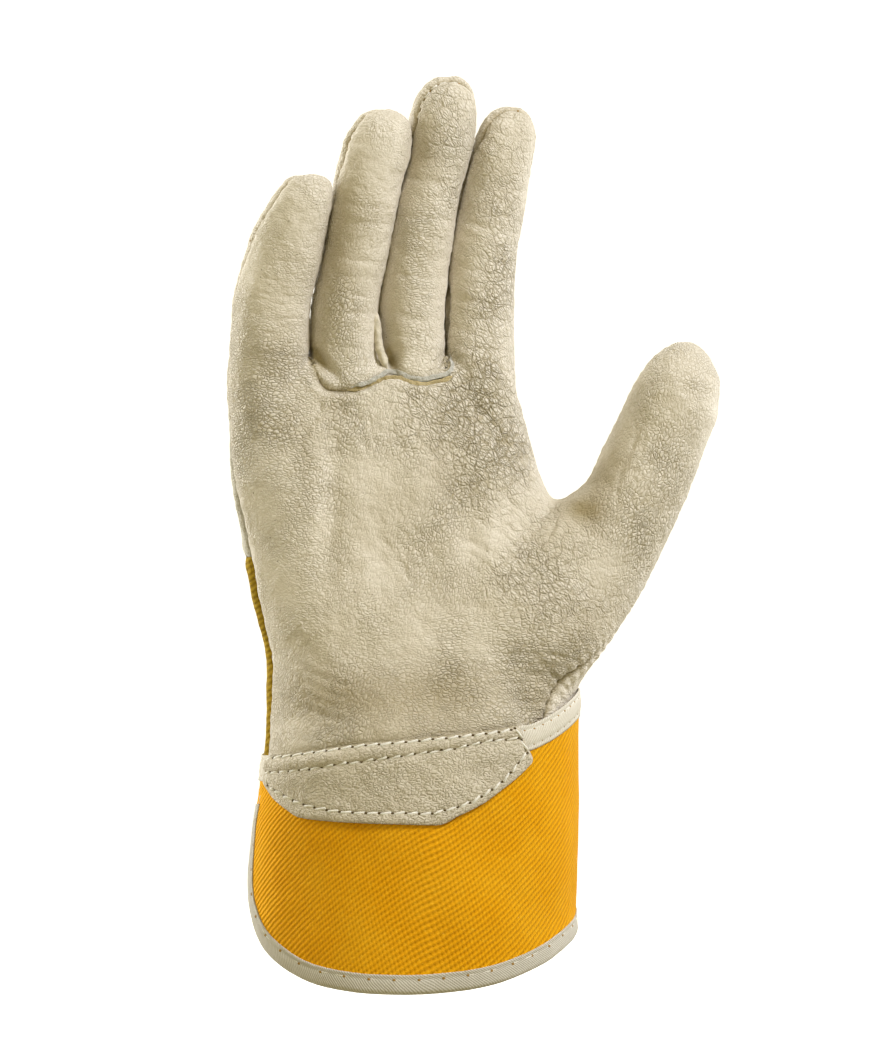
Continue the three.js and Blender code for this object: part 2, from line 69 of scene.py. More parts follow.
def make_camera():
    turn = math.radians(VIEW_TURN)
    centre = Vector(VIEW_CENTRE) * MM
    away = Vector((math.sin(turn), -math.cos(turn), 0)) * VIEW_DISTANCE * MM
    bpy.ops.object.camera_add(location=centre + away, rotation=(math.radians(90), 0, turn))
    camera = bpy.context.object
    camera.name = "camera"
    camera.data.sensor_fit = "VERTICAL"
    camera.data.sensor_height = SENSOR
    camera.data.lens = SENSOR * VIEW_DISTANCE / PHOTO_HEIGHT
    camera.data.clip_end = 20
    bpy.context.scene.camera = camera
    return camera


camera = make_camera()
print("camera lens", round(camera.data.lens, 1), "mm")

# %% Floor, backdrop and lights
FLOOR_HEIGHT = -135.0
FLOOR_SIZE = 12
BACKDROP_HEIGHT = 6
BACKDROP_BEND = 1.5


def stage_material():
    material = bpy.data.materials.new("studio_paper")
    material.use_nodes = True
    shader = material.node_tree.nodes["Principled BSDF"]
    shader.inputs["Base Color"].default_value = (0.93, 0.93, 0.93, 1)
    shader.inputs["Roughness"].default_value = 1
    shader.inputs["Specular IOR Level"].default_value = 0
    shader.inputs["Emission Color"].default_value = (1, 1, 1, 1)
    shader.inputs["Emission Strength"].default_value = 0.9
    return material


def pick_edges(paper, wanted):
    """Selects the edges whose corners all lie where wanted says."""
    bpy.ops.mesh.select_all(action="DESELECT")
    sheet = bmesh.from_edit_mesh(paper.data)
    for edge in sheet.edges:
        edge.select = all(wanted(v.co) for v in edge.verts)


def make_stage():
    """A sheet of paper that lies under the glove and bends up behind it."""
    bpy.ops.object.select_all(action="DESELECT")
    bpy.ops.mesh.primitive_plane_add(size=FLOOR_SIZE, location=(0, 0, FLOOR_HEIGHT * MM))
    paper = bpy.context.object
    paper.name = "studio_floor"
    bpy.ops.object.mode_set(mode="EDIT")
    bpy.ops.mesh.select_mode(type="EDGE")
    pick_edges(paper, lambda place: place.y > 5)
    bpy.ops.mesh.extrude_region_move(TRANSFORM_OT_translate={"value": (0, 0, BACKDROP_HEIGHT)})
    pick_edges(paper, lambda place: place.y > 5 and place.z < 1)
    bpy.ops.mesh.bevel(offset=BACKDROP_BEND, segments=12)
    bpy.ops.object.mode_set(mode="OBJECT")
    bpy.ops.object.shade_smooth()
    bpy.ops.object.transform_apply(location=True, rotation=True, scale=True)
    paper.data.materials.append(stage_material())
    paper.visible_diffuse = False
    return paper


def make_surround():
    """A pale ring far outside, so that the room is white from every side."""
    bpy.ops.mesh.primitive_cylinder_add(vertices=96, radius=9, depth=18, end_fill_type="NOTHING")
    ring = bpy.context.object
    ring.name = "studio_surround"
    bpy.ops.object.mode_set(mode="EDIT")
    bpy.ops.mesh.select_all(action="SELECT")
    bpy.ops.mesh.flip_normals()
    bpy.ops.object.mode_set(mode="OBJECT")
    bpy.ops.object.shade_smooth()
    ring.data.materials.append(bpy.data.materials["studio_paper"])
    ring.visible_diffuse = False
    ring.visible_glossy = False


def soft_panel(name, place, size, power, tint):
    """A square light that looks at the middle of the glove."""
    bpy.ops.object.light_add(type="AREA", location=Vector(place))
    lamp = bpy.context.object
    lamp.name = name
    lamp.data.size = size
    lamp.data.energy = power
    lamp.data.color = tint
    aim = Vector(VIEW_CENTRE) * MM - lamp.location
    lamp.rotation_euler = aim.to_track_quat("-Z", "Y").to_euler()
    return lamp


def make_light():
    soft_panel("key_right", (0.78, -0.70, 1.02), 0.42, 17.8, (0.97, 0.98, 1.03))
    soft_panel("fill_left", (-0.6, -1.6, 0.5), 1.2, 2.3, (1, 0.88, 0.5))
    soft_panel("rim_left", (-0.9, 0.5, 0.35), 0.7, 12, (1, 1, 1))
    soft_panel("rim_right", (1.0, 0.6, 0.1), 0.7, 6, (1, 1, 1))
    world = bpy.data.worlds.new("studio_air")
    world.use_nodes = True
    sky = world.node_tree.nodes["Background"]
    sky.inputs["Color"].default_value = (1, 0.87, 0.46, 1)
    sky.inputs["Strength"].default_value = 0.42
    bpy.context.scene.world = world
    bpy.context.scene.view_settings.view_transform = "Standard"


make_stage()
make_surround()
make_light()

# %% [markdown]
# ## The measures
# The same section tables as in the CAD source: at each height the left and right edge seen from the
# palm, the middle of the depth and half the depth. On a finger, the last two columns say how far
# behind that middle the side seams run. A smooth curve through each column gives the forms between.

# %% Tables
HAND = [
    (-16, -47.0, 45.7, 0, 31.2), (0, -45.8, 45.7, 0, 29.5), (11, -45.2, 45.4, 0, 28),
    (22, -45.3, 45.8, 0, 26), (35, -48.1, 46, -1, 24), (52, -51.6, 46, -1, 22),
    (68, -54.6, 40.5, -1, 20), (80, -56.2, 35, -1, 18.3), (93, -56.6, 31, -1, 16),
    (102, -57.2, 28.8, -1, 14.2), (108, -56, 27.5, -1.5, 11.5), (112, -50, 23, -2, 7),
]
DIGITS = {
    "little": [
        (80, -50, -38, -1, 5, 2, 2), (92, -55.6, -34.0, -1, 12, 2, 2),
        (104, -57.4, -33.6, -1.5, 12.6, 2.5, 2.5), (112, -56.9, -33.5, -3, 12.1, 4, 4),
        (126, -56.2, -33.6, -5.5, 11.7, 1, 2), (143, -52.5, -30.2, -9, 11.4, -1.5, 2),
        (151, -50.0, -28.9, -11, 11, -3, 2), (157.8, -46.2, -27.9, -13.5, 9.7, -4, 1.5),
        (162.3, -43.0, -28.0, -15, 7.4, -3.5, 1), (164.8, -40.8, -29.4, -16, 4.6, -2, 0),
        (165.8, -36.6, -31.6, -16.3, 1.6, -1, 0),
    ],
    "ring": [
        (84, -31, -15, -1, 9, 2, 2), (92, -33.3, -12.7, -1, 14.8, 2, 2),
        (104, -33.3, -12.9, -1.5, 13, 2.5, 2.5), (112, -33.2, -12.9, -2, 12.2, 3, 3),
        (126, -32.9, -13, -3.5, 11.6, 1, 2), (143, -29.9, -10.7, -6, 11.4, 0, 2),
        (155, -28.4, -8.9, -8.5, 11.2, -1.5, 2), (165, -27.0, -6.9, -10.6, 10.8, -3, 2),
        (170.9, -25.7, -5.3, -12, 10.3, -4, 2), (176.4, -24.3, -4.7, -13.2, 9, -4, 1.5),
        (180.9, -21.4, -5.5, -14.2, 6.8, -3, 1), (183.9, -18.8, -8.5, -14.8, 3.8, -2, 0),
        (185, -14.7, -11.3, -15, 1.3, -1, 0),
    ],
    "middle": [
        (84, -10, 5, -1, 9, 2, 2), (92, -12.3, 6.9, -1, 14.8, 2, 2),
        (104, -12.6, 6.8, -1, 13, 2, 2), (112, -12.6, 6.9, -1, 12.2, 2, 2),
        (126, -12.7, 7.1, -1.5, 11.4, 1, 2), (143, -10.4, 8.4, -2.5, 11.3, 0, 2),
        (159, -7.8, 10.9, -4, 11.2, -1, 2), (172, -4.9, 13.8, -6, 11, -3, 2),
        (183.4, -4.1, 14.8, -8.5, 10, -5.5, 1.5), (188.9, -2.9, 14.9, -9.6, 8, -5.6, -1.5),
        (192.8, -0.2, 13.2, -10.4, 5, -4.3, -3.6), (195, 3.0, 10.2, -10.9, 1.7, -2.6, -2.4),
    ],
    "index": [
        (80, 11, 24, -0.5, 5, 1.5, 1.5), (92, 8.1, 29.6, -0.5, 12.6, 1.5, 1.5),
        (104, 7.1, 28.5, -0.5, 13, 1.5, 1.5), (112, 6.8, 28, 0, 12.2, 1, 1),
        (126, 6.9, 28.0, 1, 11.5, 1, 3), (143, 8.7, 28.9, 0.7, 11.3, 0, 3),
        (159, 11.2, 30.9, 0.2, 11, -1.5, 3), (171.7, 14, 32.8, -1.8, 10.5, -3.6, 2.5),
        (178, 16.5, 33.7, -3, 9.2, -5.2, 1.5), (182.5, 18.2, 33.2, -3.8, 7, -5.0, -1.0),
        (185.6, 21.1, 30.8, -4.4, 4, -3.5, -3.0), (186.7, 23.8, 29.2, -4.6, 1.3, -2.2, -2.0),
    ],
}
THUMB = [
    (6, 18, 42, 0, 14), (15, 8, 46.6, 0, 18.5), (27, 1.7, 54.2, -2.5, 21.5),
    (44, 2.5, 65.2, -3.5, 19.5), (60, 24.4, 73.4, -4.5, 17.8), (68.4, 37.3, 77.3, -5, 16.6),
    (76.7, 49.5, 80.4, -6, 15.6), (86, 53.9, 83.6, -7.2, 14.5), (97, 58.9, 87.6, -8.5, 13.4),
    (105.6, 62.5, 87.6, -9.5, 12), (110, 65.2, 86, -10, 10.3), (114, 68.7, 83.5, -10.5, 7.6),
    (116.6, 73, 80.5, -10.8, 4.2), (117.4, 75.7, 78.1, -10.9, 1.2),
]
CUFF = [
    (22, -45.3, 45.8, 26), (11, -44.6, 45.8, 28), (0, -44.9, 45.6, 29.5), (-16, -46.8, 45.6, 31.2),
    (-30, -48.3, 45.3, 32.4), (-45, -49.6, 45.2, 33.2), (-60, -50.1, 45.7, 33.8),
    (-78, -50.4, 46.7, 34.2),
]
HEM = [
    (0, -54), (10, -55.2), (22, -57.4), (34, -60.1), (46, -63.4), (58, -66.3), (70, -68.9),
    (82, -70.6), (95, -71.5), (107, -71.2), (118, -70.2), (129, -68.6), (139, -66), (147, -63),
    (154, -59.9), (160, -56.4), (165, -52.8), (169, -49.4), (172, -45), (174.2, -39),
    (175.6, -31), (176.4, -18.5),
]
HAND_SQUARENESS = 2.3
FINGER_SQUARENESS = 2.25


def curve_through(knots, values, at):
    """A smooth curve through a table that never overshoots it."""
    knots = np.asarray(knots, float)
    values = np.asarray(values, float).reshape(len(knots), -1)
    step = np.diff(knots)[:, None]
    rise = np.diff(values, axis=0) / step
    slope = np.zeros_like(values)
    slope[0] = rise[0]
    slope[-1] = rise[-1]
    before, after = rise[:-1], rise[1:]
    wide = 2 * step[1:] + step[:-1]
    narrow = step[1:] + 2 * step[:-1]
    same = before * after > 0
    safe_before = np.where(same, before, 1)
    safe_after = np.where(same, after, 1)
    mean = (wide + narrow) / (wide / safe_before + narrow / safe_after)
    slope[1:-1] = np.where(same, mean, 0)
    at = np.clip(np.asarray(at, float).ravel(), knots[0], knots[-1])
    i = np.clip(np.searchsorted(knots, at) - 1, 0, len(knots) - 2)
    h = step[i]
    s = (at[:, None] - knots[i][:, None]) / h
    start = (1 + 2 * s) * (1 - s) ** 2 * values[i] + s * (1 - s) ** 2 * h * slope[i]
    end = s * s * (3 - 2 * s) * values[i + 1] + s * s * (s - 1) * h * slope[i + 1]
    return start + end


def read_off(table, at, index=1):
    """One column of a table, read at given values of its first column."""
    return curve_through(table[:, 0], table[:, index], at)[:, 0]


def bent(value, squareness):
    """Bends a sine or cosine so that a round outline gets fuller corners."""
    return np.sign(value) * np.abs(value) ** (2 / squareness)


def length_along(points):
    """The length of a path up to each of its points."""
    return np.concatenate([[0], np.cumsum(np.linalg.norm(np.diff(points, axis=0), axis=1))])


print("fingers:", ", ".join(DIGITS))

# %% [markdown]
# ## The outer form of hand, fingers and thumb
# On the real glove the hides are sewn flat and take their form from the hand inside. Here each finger
# is lofted through its sections and all are joined into one body by a voxel remesh, which also gives
# the soft webs between them. The fingers lie against each other, closer than a voxel, so they are
# spread a little for the remesh and brought back after it.

# %% Loft and join
RING_STEP = 1.3
RING_CORNERS = 72
VOXEL = 0.76
SPREAD = {"little": -3.9, "ring": -1.3, "middle": 1.3, "index": 3.9}
SPREAD_FROM = 105.0
SPREAD_TO = 119.0


def ramp(value, low, high):
    """A soft step from 0 at low to 1 at high."""
    share = np.clip((value - low) / (high - low), 0, 1)
    return share * share * (3 - 2 * share)


def sections(rows):
    """A table's rows made dense, evenly along the outline."""
    rows = np.array(rows, float)
    width = (rows[:, 2] - rows[:, 1]) / 2
    along = length_along(np.column_stack([rows[:, 0], width, rows[:, 4]]))
    count = int(along[-1] / RING_STEP)
    return curve_through(along, rows, np.linspace(0, along[-1], count))


def new_object(name, points, polygons):
    """An object from corners in millimetres."""
    mesh = bpy.data.meshes.new(name)
    mesh.from_pydata((points * MM).tolist(), [], polygons)
    made = bpy.data.objects.new(name, mesh)
    bpy.context.collection.objects.link(made)
    return made


def loft(name, rows, squareness, spread=0.0):
    """A closed form through a table's sections, moved aside by spread above the palm."""
    dense = sections(rows)
    turn = np.linspace(0, 2 * math.pi, RING_CORNERS, endpoint=False)
    across = bent(np.cos(turn), squareness)
    deep = bent(np.sin(turn), squareness)
    points = []
    for z, left, right, mid, half, *_ in dense:
        shift = spread * ramp(z, SPREAD_FROM, SPREAD_TO)
        x = (left + right) / 2 + (right - left) / 2 * across + shift
        points.append(np.column_stack([x, mid + half * deep, np.full(RING_CORNERS, z)]))
    faces = []
    rings = len(dense)
    for r in range(rings - 1):
        for i in range(RING_CORNERS):
            a = r * RING_CORNERS + i
            b = r * RING_CORNERS + (i + 1) % RING_CORNERS
            faces.append((a, b, b + RING_CORNERS, a + RING_CORNERS))
    faces.append(tuple(reversed(range(RING_CORNERS))))
    faces.append(tuple(range((rings - 1) * RING_CORNERS, rings * RING_CORNERS)))
    return new_object(name, np.concatenate(points), faces)


def modify(changed, kind, **settings):
    """Gives the active object a modifier and applies it."""
    modifier = changed.modifiers.new(kind.lower(), kind)
    for key, value in settings.items():
        setattr(modifier, key, value)
    bpy.ops.object.modifier_apply(modifier=modifier.name)


def join_forms():
    """One body from all forms, smoother at the thumb's root than elsewhere."""
    bpy.ops.object.select_all(action="DESELECT")
    forms = [loft("hand_form", HAND, HAND_SQUARENESS), loft("thumb_form", THUMB, FINGER_SQUARENESS)]
    for name, rows in DIGITS.items():
        forms.append(loft(f"{name}_form", rows, FINGER_SQUARENESS, SPREAD[name]))
    for form in forms:
        form.select_set(True)
    bpy.context.view_layer.objects.active = forms[0]
    bpy.ops.object.join()
    body = bpy.context.object
    body.name = "glove_form"
    modify(body, "REMESH", mode="VOXEL", voxel_size=VOXEL * MM)
    ball = body.vertex_groups.new(name="thumb_root")
    for v in body.data.vertices:
        x, y, z = v.co / MM
        weight = float(ramp(x, -6, 10) * ramp(-z, -92, -72) * ramp(-x, -66, -50))
        ball.add([v.index], weight, "REPLACE")
    modify(body, "SMOOTH", vertex_group=ball.name, factor=0.9, iterations=60)
    modify(body, "SMOOTH", factor=0.6, iterations=8)
    bpy.ops.object.mode_set(mode="EDIT")
    bpy.ops.mesh.select_all(action="SELECT")
    bpy.ops.mesh.quads_convert_to_tris()
    bpy.ops.object.mode_set(mode="OBJECT")
    return body


body = join_forms()
print("outer form:", len(body.data.vertices), "corners")

# %% Corners and triangles as arrays, fingers brought back together
def arrays_of(obj):
    points = np.empty(len(obj.data.vertices) * 3)
    obj.data.vertices.foreach_get("co", points)
    corners = np.empty(len(obj.data.polygons) * 3, int)
    obj.data.polygons.foreach_get("vertices", corners)
    return points.reshape(-1, 3) / MM, corners.reshape(-1, 3)


def column(name, z, index):
    return read_off(np.array(DIGITS[name], float), z, index)


NAMES = list(DIGITS)


def finger_at(x, z, spread):
    """Which finger a place belongs to, 0 for the little finger to 3 for the index finger."""
    number = np.zeros(len(x), int)
    for i in range(3):
        near, far = NAMES[i], NAMES[i + 1]
        edge = (column(near, z, 2) + column(far, z, 1)) / 2
        if spread:
            edge = edge + (SPREAD[near] + SPREAD[far]) / 2 * ramp(z, SPREAD_FROM, SPREAD_TO)
        number += x > edge
    return number


skin, faces = arrays_of(body)
on_finger = (skin[:, 2] > SPREAD_FROM) & (skin[:, 0] < 50)
finger = finger_at(skin[:, 0], skin[:, 2], True)
spreads = np.array([SPREAD[name] for name in NAMES])
skin[:, 0] -= np.where(on_finger, spreads[finger] * ramp(skin[:, 2], SPREAD_FROM, SPREAD_TO), 0)
bpy.data.objects.remove(body)
print("skin:", len(skin), "corners,", len(faces), "triangles")

# %% [markdown]
# ## Where the hides are parted
# A glove is cut from a few hides. The seams are found as lines on the skin: the side seams that part
# palm and back, the line across the palm where the front of the two middle fingers is sewn in, the
# knuckle line, the strap's foot and the edge of the thumb's back. Corners beside such a line are moved
# onto it, so that every piece gets a clean edge.

# %% Seam lines as signed distances
# height, then depth at the little finger's side, x and depth where the hand ends, where the thumb
# starts and where it ends
SIDE_SEAM = np.array([
    (-30, -7, 8, 0, 12, -14, 20, -27), (2, -7, 16, 0, 20, -14, 31, -24),
    (7, -7, 18, 0, 22, -12, 33, -20.5), (14, -7, 22, 0, 28, -10, 38, -18.5),
    (21, -8.4, 26, 0, 32, -8, 42, -16), (30, -10.4, 30, 0, 36, -5, 48, -11),
    (40, -12.6, 33, 1.5, 40, -1, 54, -6.5), (50, -12.8, 36, 2, 43, 1, 58, -3),
    (60, -12.2, 38, 3, 44, 2, 62, -1.5), (72, -10.4, 39, 3, 45, 0, 66, -1.5),
    (80, -6.0, 38, 3, 46, -1, 66, -2.5), (92, -1.6, 37, 1, 48, -4, 68, -4.5),
    (112, 1, 36, 1, 50, -8, 72, -8.5), (130, 1, 36, 1, 50, -9, 72, -9),
], float)
FINGER_SEAM = np.array([
    (-33.2, 111), (-31.6, 106), (-29, 103.2), (-23, 102.8), (-16.2, 105), (-10.8, 108.4),
    (-5.3, 106.2), (-0.6, 105.6), (4.9, 106.8), (7.5, 109.5),
], float)
THUMB_BACK_EDGE = np.array([
    (-30, 27), (0, 28), (20, 31), (40, 35.5), (60, 40.5), (72, 42), (130, 42),
], float)
KNUCKLE_LINE = 104.0
STRAP_FOOT = 54.0
WRIST_MIDDLE = -2.0
WRIST_SLOPE = 6.0
WRIST_CLIMB = 7.5
WRIST_CLIMB_FROM = 0.55
FINGERS_FROM = 110
THUMB_FROM = 38
THUMB_EDGE_TO = 80


def hand_seam(x, z):
    """Depth of the side seams below the fingers and on the thumb."""
    columns = curve_through(SIDE_SEAM[:, 0], SIDE_SEAM[:, 1:], z).T
    ulnar, hand_end, radial, thumb_start, inner, thumb_end, outer = columns
    first = ulnar + (radial - ulnar) * np.clip((x + 120) / (hand_end + 120), 0, 1)
    second = radial + (inner - radial) * np.clip((x - hand_end) / (thumb_start - hand_end), 0, 1)
    third = inner + (outer - inner) * np.clip((x - thumb_start) / (thumb_end - thumb_start), 0, 1)
    return np.where(x < hand_end, first, np.where(x < thumb_start, second, third))


def finger_seam(x, z, number):
    """Depth of the side seams on the fingers."""
    depth = np.zeros(len(x))
    for i, name in enumerate(NAMES):
        mine = number == i
        rows = np.array(DIGITS[name], float)
        left, right, mid, _, ulnar, radial = curve_through(rows[:, 0], rows[:, 1:], z[mine]).T
        share = (x[mine] - left) / np.maximum(right - left, 1)
        depth[mine] = mid + ulnar + (radial - ulnar) * np.clip(share, -0.5, 1.5)
    return depth


def side_line(points):
    """Positive on the back, negative on the palm side."""
    x, y, z = points.T
    number = finger_at(x, z, False)
    depth = np.where((z > FINGERS_FROM) & (x < THUMB_FROM), finger_seam(x, z, number), hand_seam(x, z))
    return y - depth


def tube_edges(z):
    """Left edge, right edge and half depth of the tube round the wrist at a height."""
    rows = np.array(CUFF[::-1], float)
    return curve_through(rows[:, 0], rows[:, 1:], z).T


def wrist_turn(points):
    """The turn round the wrist: 0 at the thumb's side, -90 degrees in the middle of the palm side."""
    x, y, z = points.T
    left, right, half = tube_edges(z)
    u = (x - (left + right) / 2) / ((right - left) / 2)
    w = y / half
    power = HAND_SQUARENESS / 2
    return np.arctan2(np.sign(w) * np.abs(w) ** power, np.sign(u) * np.abs(u) ** power)


def wrist_line(turn):
    """Height at which the hides end and the cuff begins; it climbs at the thumb's side."""
    facing = np.cos(turn)
    near = np.clip((facing - WRIST_CLIMB_FROM) / (1 - WRIST_CLIMB_FROM), 0, 1)
    return WRIST_MIDDLE + WRIST_SLOPE * facing + WRIST_CLIMB * near ** 1.5


def palm_line(points):
    """Positive above the line across the palm."""
    x, _, z = points.T
    return z - read_off(FINGER_SEAM, x)


def thumb_line(points):
    """Positive on the thumb's side of the edge of the thumb's back."""
    x, _, z = points.T
    return x - read_off(THUMB_BACK_EDGE, z)


# %% Move corners onto the seam lines and name every triangle's piece
def sides_of(triangles):
    """The three sides of every triangle, each as its lower and its higher corner number."""
    pairs = np.concatenate([triangles[:, [0, 1]], triangles[:, [1, 2]], triangles[:, [2, 0]]])
    return np.sort(pairs, axis=1)


def draw_onto(points, edges, value_of, where=None):
    """Moves the nearer end of each crossed edge onto the line where value_of is zero."""
    value = value_of(points)
    for _ in range(3):
        a, b = edges.T
        crossed = value[a] * value[b] < 0
        if where is not None:
            crossed &= where[a] & where[b]
        a, b = a[crossed], b[crossed]
        if not len(a):
            break
        share = value[a] / (value[a] - value[b])
        place = points[a] + (points[b] - points[a]) * share[:, None]
        near = np.where(share < 0.5, a, b)
        move = np.minimum(share, 1 - share)
        order = np.argsort(-move)
        points[near[order]] = place[order]
        value[near] = 0
    return value


edges = np.unique(sides_of(faces), axis=0)
draw_onto(skin, edges, lambda p: p[:, 2] - wrist_line(wrist_turn(p)), skin[:, 2] < 30)
behind_side = draw_onto(skin, edges, side_line)
is_back = behind_side >= 0
in_middle = (skin[:, 0] > FINGER_SEAM[0, 0]) & (skin[:, 0] < FINGER_SEAM[-1, 0]) & (skin[:, 2] < 114)
draw_onto(skin, edges, palm_line, (behind_side <= 0) & in_middle)
past_thumb_edge = draw_onto(skin, edges, thumb_line, is_back & (skin[:, 2] < THUMB_EDGE_TO))
not_thumb = is_back & (past_thumb_edge <= 0)
draw_onto(skin, edges, lambda p: p[:, 2] - KNUCKLE_LINE, not_thumb)
draw_onto(skin, edges, lambda p: p[:, 2] - STRAP_FOOT, not_thumb)

PIECES = ["palm", "middle_fronts", "thumb_back", "knuckle_strap", "cloth_back",
          "little_back", "ring_back", "middle_back", "index_back"]


def name_faces():
    """The number of every triangle's piece, and which triangles lie above the wrist."""
    centre = skin[faces].mean(axis=1)
    x, y, z = centre.T
    side = side_line(centre)
    summed = behind_side[faces].sum(axis=1)
    back = np.where(np.abs(summed) > 1e-9, summed > 0, side > 0)
    number = finger_at(x, z, False)
    over_palm = np.where(z < 116, palm_line(centre) > 0, True)
    middle_two = ((number == 1) | (number == 2)) & (x > -34) & (x < 40)
    label = np.where(middle_two & over_palm & (z > 100), 1, 0)
    thumb = np.where(z < THUMB_EDGE_TO, thumb_line(centre) > 0, x > THUMB_FROM)
    level = np.where(z > KNUCKLE_LINE, 5 + number, np.where(z > STRAP_FOOT, 3, 4))
    label = np.where(back, np.where(thumb, 2, level), label)
    keep = centre[:, 2] > wrist_line(wrist_turn(centre))
    return label, keep


SMALLEST_HIDE = 400


def neighbours_of(triangles):
    """Pairs of triangles that share an edge."""
    pairs = sides_of(triangles)
    owner = np.tile(np.arange(len(triangles)), 3)
    order = np.lexsort((pairs[:, 1], pairs[:, 0]))
    pairs, owner = pairs[order], owner[order]
    shared = (pairs[1:] == pairs[:-1]).all(axis=1)
    return owner[:-1][shared], owner[1:][shared]


def join_scraps(triangles, label):
    """Scraps of a few triangles beside a seam become part of the hide round them."""
    a, b = neighbours_of(triangles)
    label = label.copy()
    for _ in range(4):
        joined = label[a] == label[b]
        group = np.arange(len(triangles))
        while True:
            lowest = np.minimum(group[a[joined]], group[b[joined]])
            grown = group.copy()
            np.minimum.at(grown, a[joined], lowest)
            np.minimum.at(grown, b[joined], lowest)
            grown = grown[grown]
            if (grown == group).all():
                break
            group = grown
        scrap = np.bincount(group, minlength=len(group))[group] < SMALLEST_HIDE
        if not scrap.any():
            break
        for number in np.unique(group[scrap]):
            mine = group == number
            beside = np.concatenate([label[b[mine[a] & ~joined]], label[a[mine[b] & ~joined]]])
            if len(beside):
                label[mine] = np.bincount(beside).argmax()
    return label


label, keep = name_faces()
faces = faces[keep]
label = join_scraps(faces, label[keep])
used = np.unique(faces)
renumber = np.full(len(skin), -1)
renumber[used] = np.arange(len(used))
skin = skin[used]
faces = renumber[faces]
is_back = is_back[used]
print({name: int((label == i).sum()) for i, name in enumerate(PIECES)})

# %% [markdown]
# ## Seams, folds and creases
# A seam pulls the leather in: a narrow valley, a slight swell beside it and small puckers along it.
# Folds are drawn as families of lines, each with its own width and depth, where the palm bends
# over the hand inside. Broad hollows and swells come first, then seams, then creases, then the small
# unevenness of a soft hide.

# %% Distances to the seams
def normals_of(points, triangles):
    """Outward directions at the corners, from the triangles round each."""
    a, b, c = (points[triangles[:, i]] for i in range(3))
    flat = np.cross(b - a, c - a)
    out = np.zeros_like(points)
    for i in range(3):
        np.add.at(out, triangles[:, i], flat)
    return out / np.maximum(np.linalg.norm(out, axis=1)[:, None], 1e-12)


def seam_corners(triangles, labels, count):
    """The lowest and the highest piece number at every corner, which differ on a seam."""
    low = np.full(count, 99)
    high = np.full(count, -1)
    for i in range(3):
        np.minimum.at(low, triangles[:, i], labels)
        np.maximum.at(high, triangles[:, i], labels)
    return low, high


def nearest(points, targets):
    """Distance to, and number of, the nearest of some target corners."""
    tree = kdtree.KDTree(len(targets))
    for i, p in enumerate(targets):
        tree.insert(p, i)
    tree.balance()
    found = [tree.find(p) for p in points]
    return np.array([f[2] for f in found]), np.array([f[1] for f in found])


lowest_label, highest_label = seam_corners(faces, label, len(skin))
on_seam = lowest_label != highest_label
seam_points = skin[on_seam]
seam_low = lowest_label[on_seam]
seam_high = highest_label[on_seam]
seam_distance, seam_number = nearest(skin, seam_points)
print("seam corners:", int(on_seam.sum()))

# %% Broad forms on the palm side
# x, z, half width, half height, turn in degrees, how far it stands in (-) or out (+)
BROAD_FORMS = np.array([
    (-8, 58, 24, 30, 0, -3.2),
    (-28, 71, 4.0, 22, -4, -1.5),
    (10, 72, 4.5, 28, 8, -1.5),
    (-4, 78, 7, 18, 0, 0.7),
    (-38, 30, 12, 22, 8, 1.2),
    (3, 22, 10, 18, -10, -1.6),
    (-22, 8, 26, 8, 4, 0.8),
    (30, 38, 14, 16, 20, 1.3),
    (24, 66, 7, 16, 30, -1.0),
    (44, 66, 5, 7, 0, -1.6),
    (-29.6, 111.0, 1.3, 5.5, 35, -2.2),
    (-9.2, 111.4, 1.6, 3.4, -12, -3.0),
], float)


def spot(x, z, middle_x, middle_z, wide, tall, turn=0):
    """A soft oval spot, 1 in its middle, that dies away outwards."""
    c, s = math.cos(math.radians(turn)), math.sin(math.radians(turn))
    u = ((x - middle_x) * c + (z - middle_z) * s) / wide
    w = (-(x - middle_x) * s + (z - middle_z) * c) / tall
    return np.exp(-u * u - w * w)


def broad(points):
    """How far the broad forms stand out at each place, seen from the palm side."""
    x, _, z = points.T
    return sum(high * spot(x, z, *oval) for *oval, high in BROAD_FORMS)


skin_normal = normals_of(skin, faces)
facing = np.clip(-skin_normal[:, 1] * 1.6, 0, 1)
skin[:, 1] -= broad(skin) * facing * (~is_back)

